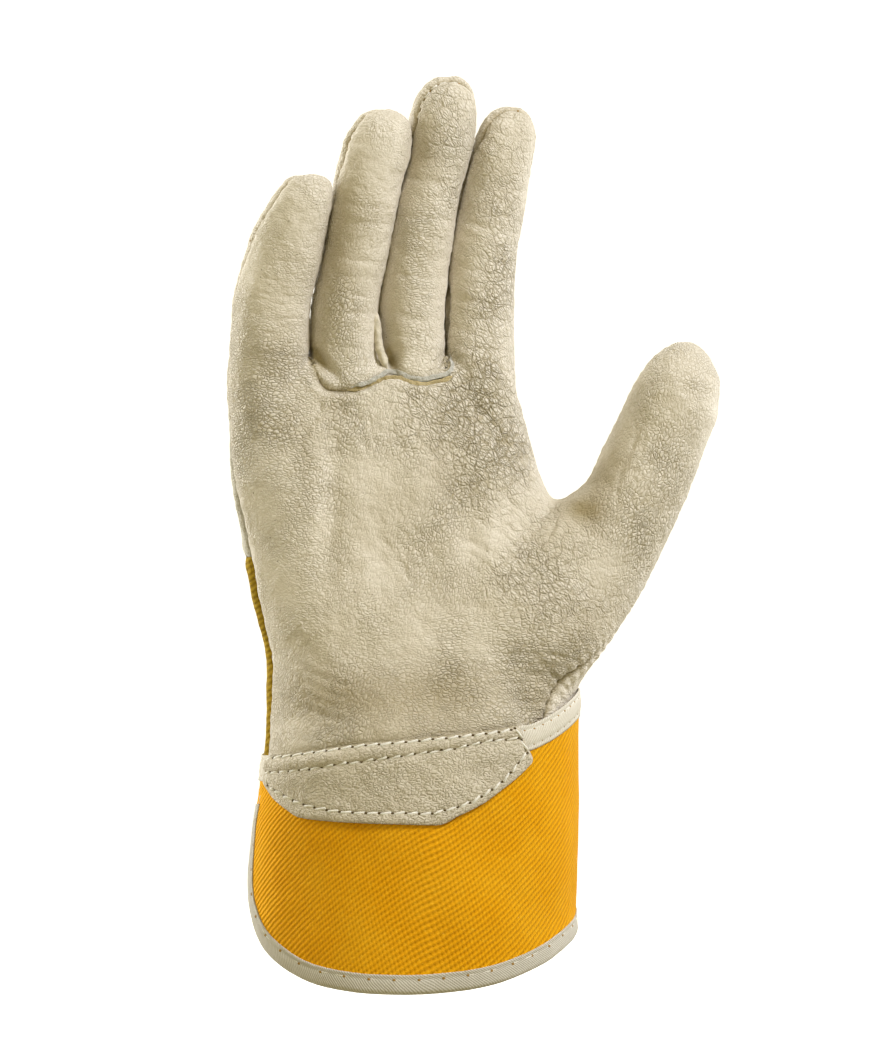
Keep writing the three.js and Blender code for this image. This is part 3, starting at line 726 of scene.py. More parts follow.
# %% Crease families
# x and z of the first line's two ends, number of lines, step to the next, bow, width, depth
CREASES = [
    (-57, 97, -36, 94, 26, 0.2, 2.1, -1.2, 0.5, 0.16),
    (-30, 101, -41, 84, 6, 1.9, -0.6, 1.0, 0.7, 0.38),
    (-27, 100.5, -22, 84, 6, 1.8, 0.1, 0.6, 0.7, 0.36),
    (-8, 100, -14, 82, 6, 1.7, -0.4, 0.8, 0.7, 0.30),
    (3, 104, 13, 84, 7, 1.9, -0.5, 1.2, 0.8, 0.40),
    (9, 105, 31, 72, 10, 1.7, 1.1, 2.4, 0.7, 0.32),
    (14, 76, 33, 62, 8, -1.2, -3.1, 1.6, 0.7, 0.26),
    (36, 70, 16, 44, 7, 2.5, -2.6, 2.2, 1.0, 0.40),
    (12, 28, 50, 25, 8, 0.6, -2.7, 1.2, 0.8, 0.34),
    (-45, 12, -25, 3, 6, 0.9, 3.4, -1.6, 1.0, 0.40),
    (-44, 24, -30, 40, 6, 1.8, -0.2, 1.4, 0.9, 0.26),
    (52, 55, 66, 100, 7, 2.5, -1.1, 2.0, 0.7, 0.22),
    (60, 50, 74, 76, 4, 1.9, -2.4, 1.2, 0.9, 0.34),
    (7, 118, 28, 114, 10, 0.35, 4.4, -1.0, 0.8, 0.26),
    (-33, 122, -14, 120, 9, 0.7, 5.2, -1.0, 0.8, 0.24),
    (-12, 120, 7, 118, 10, 0.6, 5.8, -1.0, 0.8, 0.22),
    (-20, 60, -8, 44, 5, 3.2, 1.2, 1.2, 1.0, 0.22),
    (6, 8, 40, 12, 3, 0.5, 3.2, 1.0, 0.8, 0.28),
]


def noise_at(points, scale, shift=(0, 0, 0)):
    """Smooth noise at each place, the finer the larger the scale."""
    return np.array([noise.noise(Vector(p) * scale + Vector(shift)) for p in points])


def crease_depth(points):
    """How deep the drawn creases are at each place, seen from the palm side."""
    wander = np.array([noise.noise_vector(Vector(p) * 0.09) for p in points]) * 1.1
    fine = noise_at(points, 0.45)
    x = points[:, 0] + wander[:, 0]
    z = points[:, 2] + wander[:, 2]
    total = np.zeros(len(points))
    for x0, z0, x1, z1, count, step_x, step_z, bow, width, depth in CREASES:
        run = np.array([x1 - x0, z1 - z0], float)
        length = np.linalg.norm(run)
        run /= length
        side = np.array([-run[1], run[0]])
        for k in range(count):
            from_x = x - x0 - k * step_x
            from_z = z - z0 - k * step_z
            share = (from_x * run[0] + from_z * run[1]) / length
            across = from_x * side[0] + from_z * side[1] - bow * 4 * share * (1 - share)
            uneven = 0.65 + 0.35 * math.sin(2.4 * k + x0)
            ends = ramp(share, -0.06, 0.2) * ramp(-share, -1.06, -0.75)
            total += depth * uneven * ends * np.exp(-(across / width) ** 2)
    return np.minimum(1.6 * total, 0.85) * (0.75 + 0.9 * fine)


def finger_folds(points):
    """Cross folds on the backs of fingers and thumb."""
    x, y, z = points.T
    warp = np.array([noise.noise(Vector((p[0] * 0.08, p[1] * 0.08, p[2] * 0.05 + 7))) for p in points])
    wave = np.sin((z + 5 * warp) * 0.9 + 1.6 * np.sin(x * 0.15))
    return 0.22 * np.clip(wave - 0.35, 0, 1)


PUCKER_PITCH = 4.2


def seam_relief(points):
    """A valley at the seam, a swell beside it and puckers across it."""
    near = seam_points[seam_number]
    phase = 2 * math.pi / PUCKER_PITCH * (near[:, 2] + 0.8 * near[:, 0])
    phase += 1.4 * noise_at(near, 0.3)
    gathered = 0.6 * ramp(near[:, 0], 30, 40) * ramp(-near[:, 2], -34, -24)
    across_palm = (seam_low[seam_number] == 0) & (seam_high[seam_number] == 1)
    lap = (seam_low[seam_number] == 3) & (seam_high[seam_number] == 4)
    depth = np.where(across_palm, 1.3, np.where(lap, 0.35, 0.95)) + 0.5 * gathered
    valley = -depth * np.exp(-(seam_distance / 0.95) ** 2)
    swell = (0.28 + 0.3 * gathered) * np.exp(-((seam_distance - 2.8) / 1.7) ** 2)
    pucker = (0.16 + 0.55 * gathered) * np.cos(phase) * np.exp(-seam_distance / (3.2 + 3 * gathered))
    return valley + swell + pucker


def unevenness(points):
    """Slow, middling and quick unevenness of a soft hide."""
    slow = noise_at(points, 0.055)
    middle = noise_at(points, 0.17, (9, 4, 2))
    quick = noise_at(points, 0.5, (3, 8, 5))
    return 0.75 * slow + 0.24 * middle + 0.08 * quick


# %% Press the relief into the skin
PATCH_EDGE = np.array([
    (-165, -4.9, -12.3), (-160, -4.3, -14.6), (-155.5, -4.0, -16.5), (-147.3, -3.5, -19.0),
    (-138.3, -2.8, -21.5), (-128, -1.9, -22.2), (-116.5, -0.6, -22.7), (-98.8, 0.7, -23.2),
    (-89, 1.7, -23.4), (-83.5, 2.3, -20.9), (-75.5, 3.1, -17.4), (-68.3, 3.8, -13.4),
    (-63, 4.5, -10.4), (-61, 2.8, -9.2), (-58.5, -1.0, -7.6), (-55.5, -4.3, -5.4),
], float)
PATCH_LIFT = 2.1


def patch_edge(turn, index):
    """Height of the patch's upper (1) or lower (2) edge at a turn."""
    return read_off(PATCH_EDGE, np.degrees(turn), index)


def wrist_lift(points):
    """The palm's hide rises over the wrist tape up to the stitched line where the patch goes on."""
    turn = wrist_turn(points)
    over = ramp(np.degrees(turn), -172, -163) * ramp(-np.degrees(turn), 54, 63)
    above = points[:, 2] - patch_edge(turn, 1)
    rise = np.where(above > 0, np.exp(-(above / 8.0) ** 2), np.exp(-(above / 1.0) ** 2))
    groove = 0.75 * np.exp(-(above / 1.1) ** 2)
    return (PATCH_LIFT * rise - groove) * over


CROTCHES = ((-31.5, 110.5), (-12.4, 111.5), (7.2, 111.5))


def clear_of_crotches(points):
    """Nothing right in the narrow places between the fingers, where relief would fold over itself."""
    keep = np.ones(len(points))
    for x, z in CROTCHES:
        keep *= ramp(np.hypot(points[:, 0] - x, points[:, 2] - z), 2.5, 5.5)
    return keep


skin_normal = normals_of(skin, faces)
relief = (seam_relief(skin) + unevenness(skin)) * clear_of_crotches(skin)
relief -= np.where(is_back, 0, crease_depth(skin) * facing)
relief -= np.where(is_back & (skin[:, 2] > 108), finger_folds(skin), 0)
relief += np.where(skin[:, 2] < 40, wrist_lift(skin), 0) * (~is_back)
skin += skin_normal * relief[:, None]
print("relief from", round(float(relief.min()), 2), "to", round(float(relief.max()), 2), "mm")

# %% [markdown]
# ## The lay of the grain
# The fine wrinkles of the hide run across the little finger and the heel of the palm, down towards the
# thumb under the index finger, and steeply upwards in the middle of the palm and along the thumb. Each
# corner keeps three shares for the three directions and one figure for how wrinkled the hide is there.

# %% Shares of the three directions
# x, z, half width, half height, direction (0 level, 1 falling, 2 rising), share
LAY = [
    (-47, 105, 14, 45, 0, 1.6), (-46, 150, 16, 20, 0, 0.6), (20, 22, 34, 16, 0, 1.8),
    (-38, 60, 10, 26, 0, 0.9), (-2, 130, 16, 30, 0, 0.7), (12, 100, 16, 14, 1, 1.8),
    (20, 84, 16, 16, 1, 2.0), (18, 140, 14, 40, 1, 1.1), (40, 46, 16, 22, 1, 0.9),
    (-8, 62, 18, 26, 2, 1.4), (-22, 120, 10, 40, 2, 1.0), (-32, 6, 18, 16, 2, 1.6),
    (66, 80, 22, 34, 2, 2.0), (8, 70, 7, 30, 2, 1.2), (-28, 74, 5, 22, 2, 1.2),
]
# x, z, half width, half height, how much more or less wrinkled
WRINKLED = [
    (-49, 98, 12, 22, 0.7), (-46, 150, 10, 12, -0.35), (14, 92, 18, 20, 0.55), (8, 72, 7, 26, 0.5),
    (-28, 76, 6, 20, 0.35), (40, 24, 18, 16, 0.55), (5, 10, 50, 12, 0.35), (-36, 10, 14, 18, 0.4),
    (30, 50, 12, 14, 0.35), (62, 62, 8, 20, 0.4), (12, 58, 6, 10, -0.5), (-12, 76, 14, 12, -0.35),
    (2, 178, 8, 20, 0.3), (-18, 170, 8, 16, -0.3), (22, 120, 8, 40, 0.35), (-27, 130, 6, 36, 0.3),
    (20, 66, 12, 9, -0.3), (-4, 120, 8, 20, 0.1),
]


def lay_of_grain(points):
    """Shares of level, falling and rising wrinkles at each place."""
    x, _, z = points.T
    share = np.full((len(points), 3), 0.12)
    for *oval, way, amount in LAY:
        share[:, way] += amount * spot(x, z, *oval)
    share += 0.35 * np.array([noise.noise_vector(Vector(p) * 0.07) for p in points])
    share = np.clip(share, 0.02, None) ** 2.6
    return share / share.sum(axis=1)[:, None]


def wrinkledness(points):
    x, _, z = points.T
    amount = 0.62 + 0.5 * noise_at(points, 0.09, (5, 5, 5))
    for *oval, more in WRINKLED:
        amount += more * spot(x, z, *oval)
    return np.clip(amount, 0.32, 1.25)


# x, z, half width, half height, turn in degrees, how much painted shade darkens the hide there
SHADE_SPOTS = [
    (-30, 13, 16, 7, 0, 0.45), (26, 20, 22, 8, 5, 0.12), (-2, 14, 30, 10, 0, 0.62),
    (0, 2, 42, 5, 0, 0.3), (46, 68, 7, 4, -10, 0.95), (42, 61, 9, 5, 0, 0.22),
    (52, 77, 4, 8, -25, 0.6), (46, 33, 11, 10, 0, 0.4),
    (10.3, 136, 2.6, 26, -4, 0.12), (-25.5, 145, 5, 22, -8, 0.5), (-1.5, 172, 4.5, 12, -5, 0.45),
    (-8.5, 122, 3, 14, -6, 0.35), (-46, 113, 8, 4, 0, 0.25), (-36, 84, 4, 10, 0, 0.3),
    (-26, 98, 5, 6, -30, 0.35), (4, 80, 4, 14, 10, 0.2), (34, 12, 8, 6, 0, 0.35),
    (-31.4, 112.6, 1.5, 4.6, 28, 1.3), (-10, 112.6, 1.2, 4.0, 22, 1.3),
]


# Painted shade from the listed spots between and beside the fingers, at the thumb's crotch and towards the
# heel, plus a slow random tone of the hide.
def paint_shade_and_tone(points):
    x, _, z = points.T
    amount = 0.12 * noise_at(points, 0.06, (2, 7, 4))
    for *oval, more in SHADE_SPOTS:
        amount += more * spot(x, z, *oval)
    return np.clip(amount, 0, 1)


# The painted shade and random tone go on the palm side only.
painted_shade_and_tone = np.where(is_back, 0.0, paint_shade_and_tone(skin))
lay = np.where(is_back[:, None], (0.60, 0.06, 0.34), lay_of_grain(skin))
wrinkled = np.where(is_back, 0.6 + 0.3 * wrinkledness(skin), wrinkledness(skin))
print("wrinkledness from", round(float(wrinkled.min()), 2), "to", round(float(wrinkled.max()), 2))

# %% [markdown]
# ## From skin to hides
# Each named piece takes its part of the skin and gets the thickness of leather or canvas with a
# Solidify modifier, inwards, so that the outside stays where it is.

# %% Cut the pieces and give them a wall
LEATHER = 1.4
CANVAS = 1.0


def keep_figures(mesh, figures):
    """Stores named figures on a mesh's corners for its finish to read."""
    for key, values in figures.items():
        if values.ndim == 2:
            mesh.attributes.new(key, "FLOAT_VECTOR", "POINT").data.foreach_set("vector", values.ravel())
        else:
            mesh.attributes.new(key, "FLOAT", "POINT").data.foreach_set("value", values)


def make_piece(name, points, triangles, wall, extra):
    """A mesh object from corners in millimetres, thickened inwards."""
    used = np.unique(triangles)
    number = np.full(len(points), -1)
    number[used] = np.arange(len(used))
    piece = new_object(name, points[used], number[triangles].tolist())
    keep_figures(piece.data, {key: values[used] for key, values in extra.items()})
    piece.data.shade_smooth()
    thicken(piece, wall)
    return piece


def thicken(piece, wall):
    bpy.ops.object.select_all(action="DESELECT")
    piece.select_set(True)
    bpy.context.view_layer.objects.active = piece
    modify(piece, "SOLIDIFY", thickness=wall * MM, offset=-1)


hides = {}
for i, name in enumerate(PIECES):
    wall = CANVAS if name == "cloth_back" else LEATHER
    figures = {"seam": seam_distance, "lay": lay, "wrinkled": wrinkled, "painted_shade_and_tone": painted_shade_and_tone}
    piece = make_piece(f"glove_{name}", skin, faces[label == i], wall, figures)
    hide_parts(name)
    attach(piece, "root")
    hides[name] = piece
print("hides:", {name: len(p.data.polygons) for name, p in hides.items()})

# %% [markdown]
# ## The cuff, its binding, the wrist tape and the patch
# All four lie on one flaring tube round the wrist. A place on it is given by the turn round the wrist
# and the height, and each piece stands off it by its own reach. The cuff's columns follow the hem, so
# that they crowd together at the slit, where the hem runs upwards.

# %% The tube round the wrist
# Turns in the tables are in degrees, and TURN_TO_MM is the length of one degree round the wrist.
GAP = 0.3
TAPE = 0.8
TAPE_WIDTH = 7.5
CUFF_CLOTH = 1.2
BINDING_WIDTH = 5.6
BINDING = 0.7
BINDING_ROW = BINDING_WIDTH - 2.4
TAPE_ROW = 0.62
TURN_TO_MM = 0.78
HEM_BACK_LIFT = 4.0


def tube_point(turn, z, reach):
    """Places on the tube at a turn in radians and a height, off it by reach."""
    left, right, half = tube_edges(z)
    x = (left + right) / 2 + ((right - left) / 2 + reach) * bent(np.cos(turn), HAND_SQUARENESS)
    y = (half + reach) * bent(np.sin(turn), HAND_SQUARENESS)
    return np.column_stack([x, y, z])


def hem_curve(count):
    """Turn in degrees and height of the hem, from the slit round by the palm and back to it."""
    half = np.array(HEM, float)
    back = half[1:].copy()
    back[:, 1] += HEM_BACK_LIFT * ramp(back[:, 0], 95, 130)
    whole = np.vstack([half[::-1] * [-1, 1], back])
    along = length_along(whole * [TURN_TO_MM, 1])
    turn, z = curve_through(along, whole, np.linspace(0, along[-1], count)).T
    return turn, z, along[-1]


def hem_direction(turn, z):
    """The way the hem runs at each place, on the flat cloth."""
    run = np.column_stack([np.gradient(turn * TURN_TO_MM), np.gradient(z)])
    return run / np.linalg.norm(run, axis=1)[:, None]


def grid_piece(name, points, columns, rows, closed, uv, wall, extra=None):
    """A strip of cloth from a grid of points, column by column, with its own UV map in metres."""
    quads = []
    for c in range(columns if closed else columns - 1):
        d = (c + 1) % columns
        for r in range(rows - 1):
            quads.append((c * rows + r, d * rows + r, d * rows + r + 1, c * rows + r + 1))
    piece = new_object(name, points, quads)
    mesh = piece.data
    layer = mesh.uv_layers.new(name="cloth")
    corner = np.empty(len(mesh.loops), int)
    mesh.loops.foreach_get("vertex_index", corner)
    flat = uv[corner].copy()
    if closed:
        last = np.repeat(np.arange(columns) == columns - 1, (rows - 1) * 4)
        wrapped = last & (corner < rows)
        flat[wrapped, 0] = uv[(columns - 1) * rows, 0] + (uv[rows, 0] - uv[0, 0])
    layer.data.foreach_set("uv", (flat * MM).ravel())
    keep_figures(mesh, extra or {})
    mesh.shade_smooth()
    thicken(piece, wall)
    return piece


def ripple(points, size, amount, seed):
    """Smooth noise of a given size and amount, in millimetres."""
    shift = Vector((seed, seed * 2, seed * 3))
    return amount * np.array([noise.noise(Vector(p) / size + shift) for p in points])


def pushed_out(points, amount):
    """Places moved away from the wrist's middle line."""
    out = points * [1, 1, 0]
    out /= np.maximum(np.linalg.norm(out, axis=1)[:, None], 1e-6)
    return points + out * amount[:, None]


# %% Cuff
def cuff_wave(base):
    """How far the cloth waves in and out; at the slit the front edge stands out over the back edge."""
    wave = ripple(base, 26, 1.0, 3) + ripple(base, 9, 0.18, 5)
    lap = ramp(-base[:, 0], 38, 47) * (1.15 * np.tanh(-base[:, 1] / 1.5) - 0.25)
    return (wave + lap) * ramp(-base[:, 2], 8, 27)


CUFF_COLUMNS = 460
CUFF_ROWS = 60


def make_cuff():
    turn, foot, _ = hem_curve(CUFF_COLUMNS)
    top = wrist_line(np.radians(turn)) - GAP / 2
    share = np.linspace(0, 1, CUFF_ROWS)
    z = (top[:, None] + (foot - top)[:, None] * share).ravel()
    turns = np.repeat(turn, CUFF_ROWS)
    points = tube_point(np.radians(turns), z, 0)
    points = pushed_out(points, cuff_wave(points))
    uv = np.column_stack([turns * TURN_TO_MM, z])
    return grid_piece("glove_cuff", points, CUFF_COLUMNS, CUFF_ROWS, True, uv, CUFF_CLOTH)


cuff = make_cuff()
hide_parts("cuff")
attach(cuff, "root")
print("cuff:", len(cuff.data.polygons), "faces")

# %% Binding folded over the hem
BINDING_COLUMNS = 620


def make_binding():
    turn, z, length = hem_curve(BINDING_COLUMNS)
    run = hem_direction(turn, z)
    up = np.column_stack([-run[:, 1], run[:, 0]])
    outer = GAP + BINDING
    inner = -CUFF_CLOTH - GAP - BINDING
    leaf = np.linspace(BINDING_WIDTH - BINDING - GAP, 0, 9)
    sunk = 0.28 * np.exp(-((leaf - BINDING_ROW) / 0.5) ** 2)
    fold = np.linspace(0, math.pi, 9)[1:-1]
    middle = (outer + inner) / 2
    half = (outer - inner) / 2
    profile = [(rise, outer - dip) for rise, dip in zip(leaf, sunk)]
    profile += [(-half * 0.5 * math.sin(f), middle + half * math.cos(f)) for f in fold]
    profile += [(rise, inner) for rise in leaf[::-1]]
    profile = np.array(profile)
    rows = len(profile)
    rise = np.tile(profile[:, 0], BINDING_COLUMNS)
    reach = np.tile(profile[:, 1], BINDING_COLUMNS)
    turns = np.repeat(turn, rows) + np.repeat(up[:, 0], rows) * rise / TURN_TO_MM
    heights = np.repeat(z, rows) + np.repeat(up[:, 1], rows) * rise
    points = tube_point(np.radians(turns), heights, reach)
    base = tube_point(np.radians(turns), heights, 0)
    points = pushed_out(points, cuff_wave(base) + ripple(points, 4, 0.12, 8))
    along = np.linspace(0, length, BINDING_COLUMNS)
    uv = np.column_stack([np.repeat(along, rows), np.tile(length_along(profile), BINDING_COLUMNS)])
    return grid_piece("glove_cuff_binding", points, BINDING_COLUMNS, rows, False, uv, 0.5)


binding = make_binding()
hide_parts("cuff_binding")
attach(binding, "root")
print("binding:", len(binding.data.polygons), "faces")

# %% Wrist tape
TAPE_COLUMNS = 420


def make_tape():
    turn = np.linspace(-math.pi, math.pi, TAPE_COLUMNS, endpoint=False)
    share = np.linspace(1, -1, 13)
    rows = len(share)
    turns = np.repeat(turn, rows)
    offset = np.tile(share, TAPE_COLUMNS)
    z = wrist_line(turns) + offset * TAPE_WIDTH / 2
    dip = 0.35 * np.exp(-((np.abs(offset) - TAPE_ROW) / 0.12) ** 2)
    crown = 0.25 * (1 - offset ** 2)
    reach = GAP / 2 + TAPE + crown - dip
    points = tube_point(turns, z, reach)
    points = pushed_out(points, ripple(points, 5, 0.16, 4))
    uv = np.column_stack([np.degrees(turns) * TURN_TO_MM, z])
    return grid_piece("glove_wrist_tape", points, TAPE_COLUMNS, rows, True, uv, 0.6)


tape = make_tape()
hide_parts("wrist_tape")
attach(tape, "root")
print("tape:", len(tape.data.polygons), "faces")

# %% Patch over the pulse
PATCH_COLUMNS = 300
PATCH_ROWS = 66
ROW_TWO = np.array([
    (-165, -9.1), (-141.5, -7.9), (-129, -6.9), (-117.8, -5.7), (-108, -4.6), (-100, -3.8),
    (-92, -2.6), (-84.8, -1.4), (-76.5, 0.2), (-71.8, 0.8), (-67, 1.1), (-55, 1.3),
], float)
FOOT_ROW = np.array([
    (-162.5, -9.8), (-161, -12.2), (-151, -14.7), (-140.5, -17.1), (-128, -19), (-118.5, -19.8),
    (-108.8, -20.1), (-99.3, -20.1), (-91, -20.3), (-88, -19.5), (-84, -18.5), (-79, -16.8),
    (-75.3, -15), (-71.3, -12.9), (-68, -10.8), (-64.8, -8.2), (-61.5, -5.2), (-59.3, -3),
    (-60.8, 0.2), (-62.8, 2.6),
], float)


def foot_row():
    """Places along the row of stitches inside the patch's lower edge."""
    along = length_along(FOOT_ROW * [TURN_TO_MM, 1])
    return curve_through(along, FOOT_ROW, np.linspace(0, along[-1], 400)).T


def row_two(turn):
    """Height of the patch's second row of stitches at a turn."""
    return read_off(ROW_TWO, np.degrees(turn))


def patch_reach(turn, z):
    """How far the patch's outside stands off the tube, with its stitched valleys."""
    foot = patch_edge(turn, 2)
    first = patch_edge(turn, 1)
    second = row_two(turn)
    tape_foot = wrist_line(turn) - TAPE_WIDTH / 2
    on_cuff = ramp(tape_foot - z, -1, 5)
    reach = PATCH_LIFT + (1.5 - PATCH_LIFT) * on_cuff
    reach += 0.5 * np.exp(-((z - (first + second) / 2) / 1.6) ** 2)
    reach -= 1.0 * np.exp(-((z - first) / 1.1) ** 2)
    reach -= 0.75 * np.exp(-((z - second) / 0.8) ** 2)
    reach -= 0.5 * np.exp(-(to_foot_row(turn, z) / 0.8) ** 2)
    reach -= 0.35 * ramp(foot + 1.0 - z, 0, 1.0)
    return reach


def to_foot_row(turn, z):
    """Distance to the lower row of stitches, measured on the flat cloth."""
    row_turn, row_z = foot_row()
    best = np.full(len(z), 99.0)
    for t, h in zip(row_turn[::4], row_z[::4]):
        best = np.minimum(best, np.hypot((np.degrees(turn) - t) * TURN_TO_MM, z - h))
    return best


def make_patch():
    turn = np.linspace(math.radians(PATCH_EDGE[0, 0]), math.radians(PATCH_EDGE[-1, 0]), PATCH_COLUMNS)
    share = np.linspace(0, 1, PATCH_ROWS)
    top = patch_edge(turn, 1)
    ragged = 0.35 * np.array([noise.noise(Vector((t * 60, 0, 0))) for t in turn])
    foot = patch_edge(turn, 2) + ragged
    z = (top[:, None] + (foot - top)[:, None] * share).ravel()
    turns = np.repeat(turn, PATCH_ROWS)
    points = tube_point(turns, z, patch_reach(turns, z))
    swell = ripple(points, 14, 0.7, 6) + ripple(points, 5, 0.28, 9) + ripple(points, 2, 0.1, 2)
    inside = ramp(z - patch_edge(turns, 2), 0, 5) * ramp(patch_edge(turns, 1) - z, 0, 2)
    points = pushed_out(points, swell * inside)
    uv = np.column_stack([np.degrees(turns) * TURN_TO_MM, z])
    # The seam figure gives painted shade: the patch's colour darkens near its rows of stitches and along its
    # lower edge.
    rows_near = np.minimum(np.abs(z - patch_edge(turns, 1)), np.abs(z - row_two(turns)))
    rows_near = np.minimum(rows_near, to_foot_row(turns, z) + 0.5)
    rows_near = np.minimum(rows_near, z - patch_edge(turns, 2) + 0.4)
    figures = {
        "seam": np.maximum(rows_near, 0),
        "lay": np.tile([0.54, 0.04, 0.42], (len(z), 1)),
        "wrinkled": np.full(len(z), 1.0),
    }
    return grid_piece("glove_pulse_patch", points, PATCH_COLUMNS, PATCH_ROWS, False, uv, 1.1, figures)


patch = make_patch()
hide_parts("pulse_patch")
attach(patch, "root")
print("patch:", len(patch.data.polygons), "faces")

# %% [markdown]
# ## The welt
# Where the front of the two middle fingers is sewn into the palm, a grey strip of thinner hide stands
# between them, with its tan raw edge below. Both follow the seam line on the skin.

# %% Welt strips
skin_tree = BVHTree.FromPolygons((skin * MM).tolist(), faces.tolist())


def front_depth(x, z):
    """How far back the palm side of the skin lies at x and z, or nan in a gap."""
    hit, _, _, _ = skin_tree.ray_cast(Vector((x, -60, z)) * MM, Vector((0, 1, 0)))
    return hit.y / MM if hit else math.nan


def strip_along(name, path, width, crown, lift, wall, start_depth=None):
    """A narrow strip that lies along a path on the skin, crowned in its middle."""
    columns = len(path)
    share = np.linspace(-1, 1, 9)
    rows = len(share)
    points = []
    run = np.gradient(path, axis=0)
    run /= np.linalg.norm(run, axis=1)[:, None]
    depth = np.array([front_depth(x, z) for x, z in path])
    found = ~np.isnan(depth) & (depth < 2)
    depth = np.interp(np.arange(columns), np.flatnonzero(found), depth[found])
    depth = np.convolve(np.pad(depth, 7, mode="edge"), np.ones(15) / 15, mode="valid")
    if start_depth is not None:
        depth = start_depth + (depth[-1] - start_depth) * np.linspace(0, 1, columns) ** 2
    ends = np.minimum(np.arange(columns), np.arange(columns)[::-1])
    taper = 0.15 + 0.85 * ramp(ends, 0, 14)
    for (x, z), (dx, dz), base, full in zip(path, run, depth, taper):
        for s in share:
            side = s * full * width / 2
            height = (lift + crown * (1 - s * s)) * full
            points.append((x - dz * side, base - height, z + dx * side))
    points = np.array(points)
    points += np.column_stack([ripple(points, 1.5, 0.30, k) for k in (7, 8, 9)])
    along = np.repeat(np.arange(columns) * 0.3, rows)
    uv = np.column_stack([along, np.tile(share * width / 2, columns)])
    return grid_piece(name, points, columns, rows, False, uv, wall)


def dense_path(rows, count, shift):
    """A path through a table with even steps, moved up by shift."""
    rows = np.array(rows, float)
    along = length_along(rows)
    return curve_through(along, rows, np.linspace(0, along[-1], count)) + [0, shift]


WELT_PATH = [(-22.4, 103.6), (-18.5, 104.6), (-14.5, 106.4), (-11, 108.2), (-8.2, 108), (-5.2, 106.6),
             (-1, 106), (3.6, 106.9), (7.0, 108.2), (8.2, 110.6), (7.9, 113.6)]
RAW_PATH = [(-23.4, 102.8), (-18.5, 103.6), (-14.5, 105.2), (-11, 106.6), (-8.2, 106.4), (-5.2, 105.2),
            (-1, 104.6), (3.6, 105.3), (6.8, 106.4), (8.6, 107.8)]
ROLLED_PATH = [(-14.5, 126.5), (-14.0, 120), (-13.4, 115), (-12.2, 111.5), (-11.1, 108.8)]
welt = strip_along("glove_welt", dense_path(WELT_PATH, 150, 0.1), 1.35, 0.12, 0.75, 0.5)
raw_edge = strip_along("glove_welt_raw_edge", dense_path(RAW_PATH, 150, 0), 1.5, 0.15, 0.35, 0.4)
rolled_edge = strip_along("glove_rolled_edge", dense_path(ROLLED_PATH, 90, 0), 2.5, 0.9, 0.5, 0.5, -8.8)
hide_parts("welt")
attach(welt, "root")
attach(raw_edge, "root")
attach(rolled_edge, "root")
print("welt:", len(welt.data.polygons), "faces")

# %% [markdown]
# ## Stitches
# One stitch is modelled as a short soft thread with rounded ends and copied along each row, one mesh a
# row. A needle hole, a small dimple coloured dark or brown as painted shade, sits where the thread goes
# down.

# %% One stitch and one needle hole
STITCH_LENGTH = 3.0
THREAD = 0.72
HOLE_RADIUS = 0.48


def taken_apart(shape):
    """The corners and polygons of a shape, which is removed."""
    points = np.array([v.co for v in shape.data.vertices])
    polygons = [tuple(p.vertices) for p in shape.data.polygons]
    bpy.data.objects.remove(shape)
    return points, polygons


def model_stitch():
    bpy.ops.object.select_all(action="DESELECT")
    bpy.ops.mesh.primitive_cylinder_add(vertices=8, radius=THREAD / 2, depth=STITCH_LENGTH,
                                        rotation=(0, math.radians(90), 0), end_fill_type="NGON")
    bpy.ops.object.transform_apply(location=True, rotation=True, scale=True)
    stitch = bpy.context.object
    bpy.ops.object.mode_set(mode="EDIT")
    bpy.ops.mesh.select_mode(type="FACE")
    bpy.ops.mesh.select_all(action="DESELECT")
    shape = bmesh.from_edit_mesh(stitch.data)
    for face in shape.faces:
        face.select = abs(face.normal.x) > 0.9
    bpy.ops.mesh.inset(thickness=THREAD * 0.2, depth=THREAD * 0.35)
    bpy.ops.object.mode_set(mode="OBJECT")
    points, polygons = taken_apart(stitch)
    ends = np.abs(points[:, 0]) / (STITCH_LENGTH / 2)
    points[:, 2] -= 0.32 * ends ** 3
    return points, polygons


def model_hole():
    bpy.ops.object.select_all(action="DESELECT")
    bpy.ops.mesh.primitive_uv_sphere_add(segments=10, ring_count=6, radius=HOLE_RADIUS)
    dot = bpy.context.object
    bpy.ops.transform.resize(value=(1.15, 1, 0.35), center_override=(0, 0, 0))
    bpy.ops.object.transform_apply(location=True, rotation=True, scale=True)
    return taken_apart(dot)


STITCH = model_stitch()
HOLE = model_hole()
print("stitch faces:", len(STITCH[1]), "hole faces:", len(HOLE[1]))

# %% Rows of stitches
FIRST_STITCH = 1.0
TIP_RADIUS = 9.0
# pitch, how deep the thread sinks in, stretch and thickness of a stitch, size of its holes, slant
SEWING = {
    "patch": (3.85, -0.05, 0.96, 1.05, 0.9, 0.26),
    "tape": (3.4, 0.12, 0.85, 0.6, 0.6, 0.0),
    "finger": (3.1, 0.0, 0.62, 0.62, 0.62, 0.0),
    "binding": (7.3, 0.14, 2.1, 0.5, 0.95, 0.0),
}


def set_row(name, shape, places, forwards, normals, stretch, slim):
    """Copies of a shape at places, turned along the row and out of the surface."""
    points, quads = shape
    corners, polygons = [], []
    for place, ahead, up in zip(places, forwards, normals):
        up = up / np.linalg.norm(up)
        ahead = ahead - up * np.dot(ahead, up)
        ahead /= np.linalg.norm(ahead)
        side = np.cross(up, ahead)
        start = len(corners)
        long_way, cross_way, high_way = points.T[:, :, None]
        corners.extend(long_way * stretch * ahead + cross_way * slim * side + high_way * slim * up + place)
        polygons.extend(tuple(start + i for i in q) for q in quads)
    row = new_object(name, np.array(corners), polygons)
    row.data.shade_smooth()
    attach(row, "root")
    return row


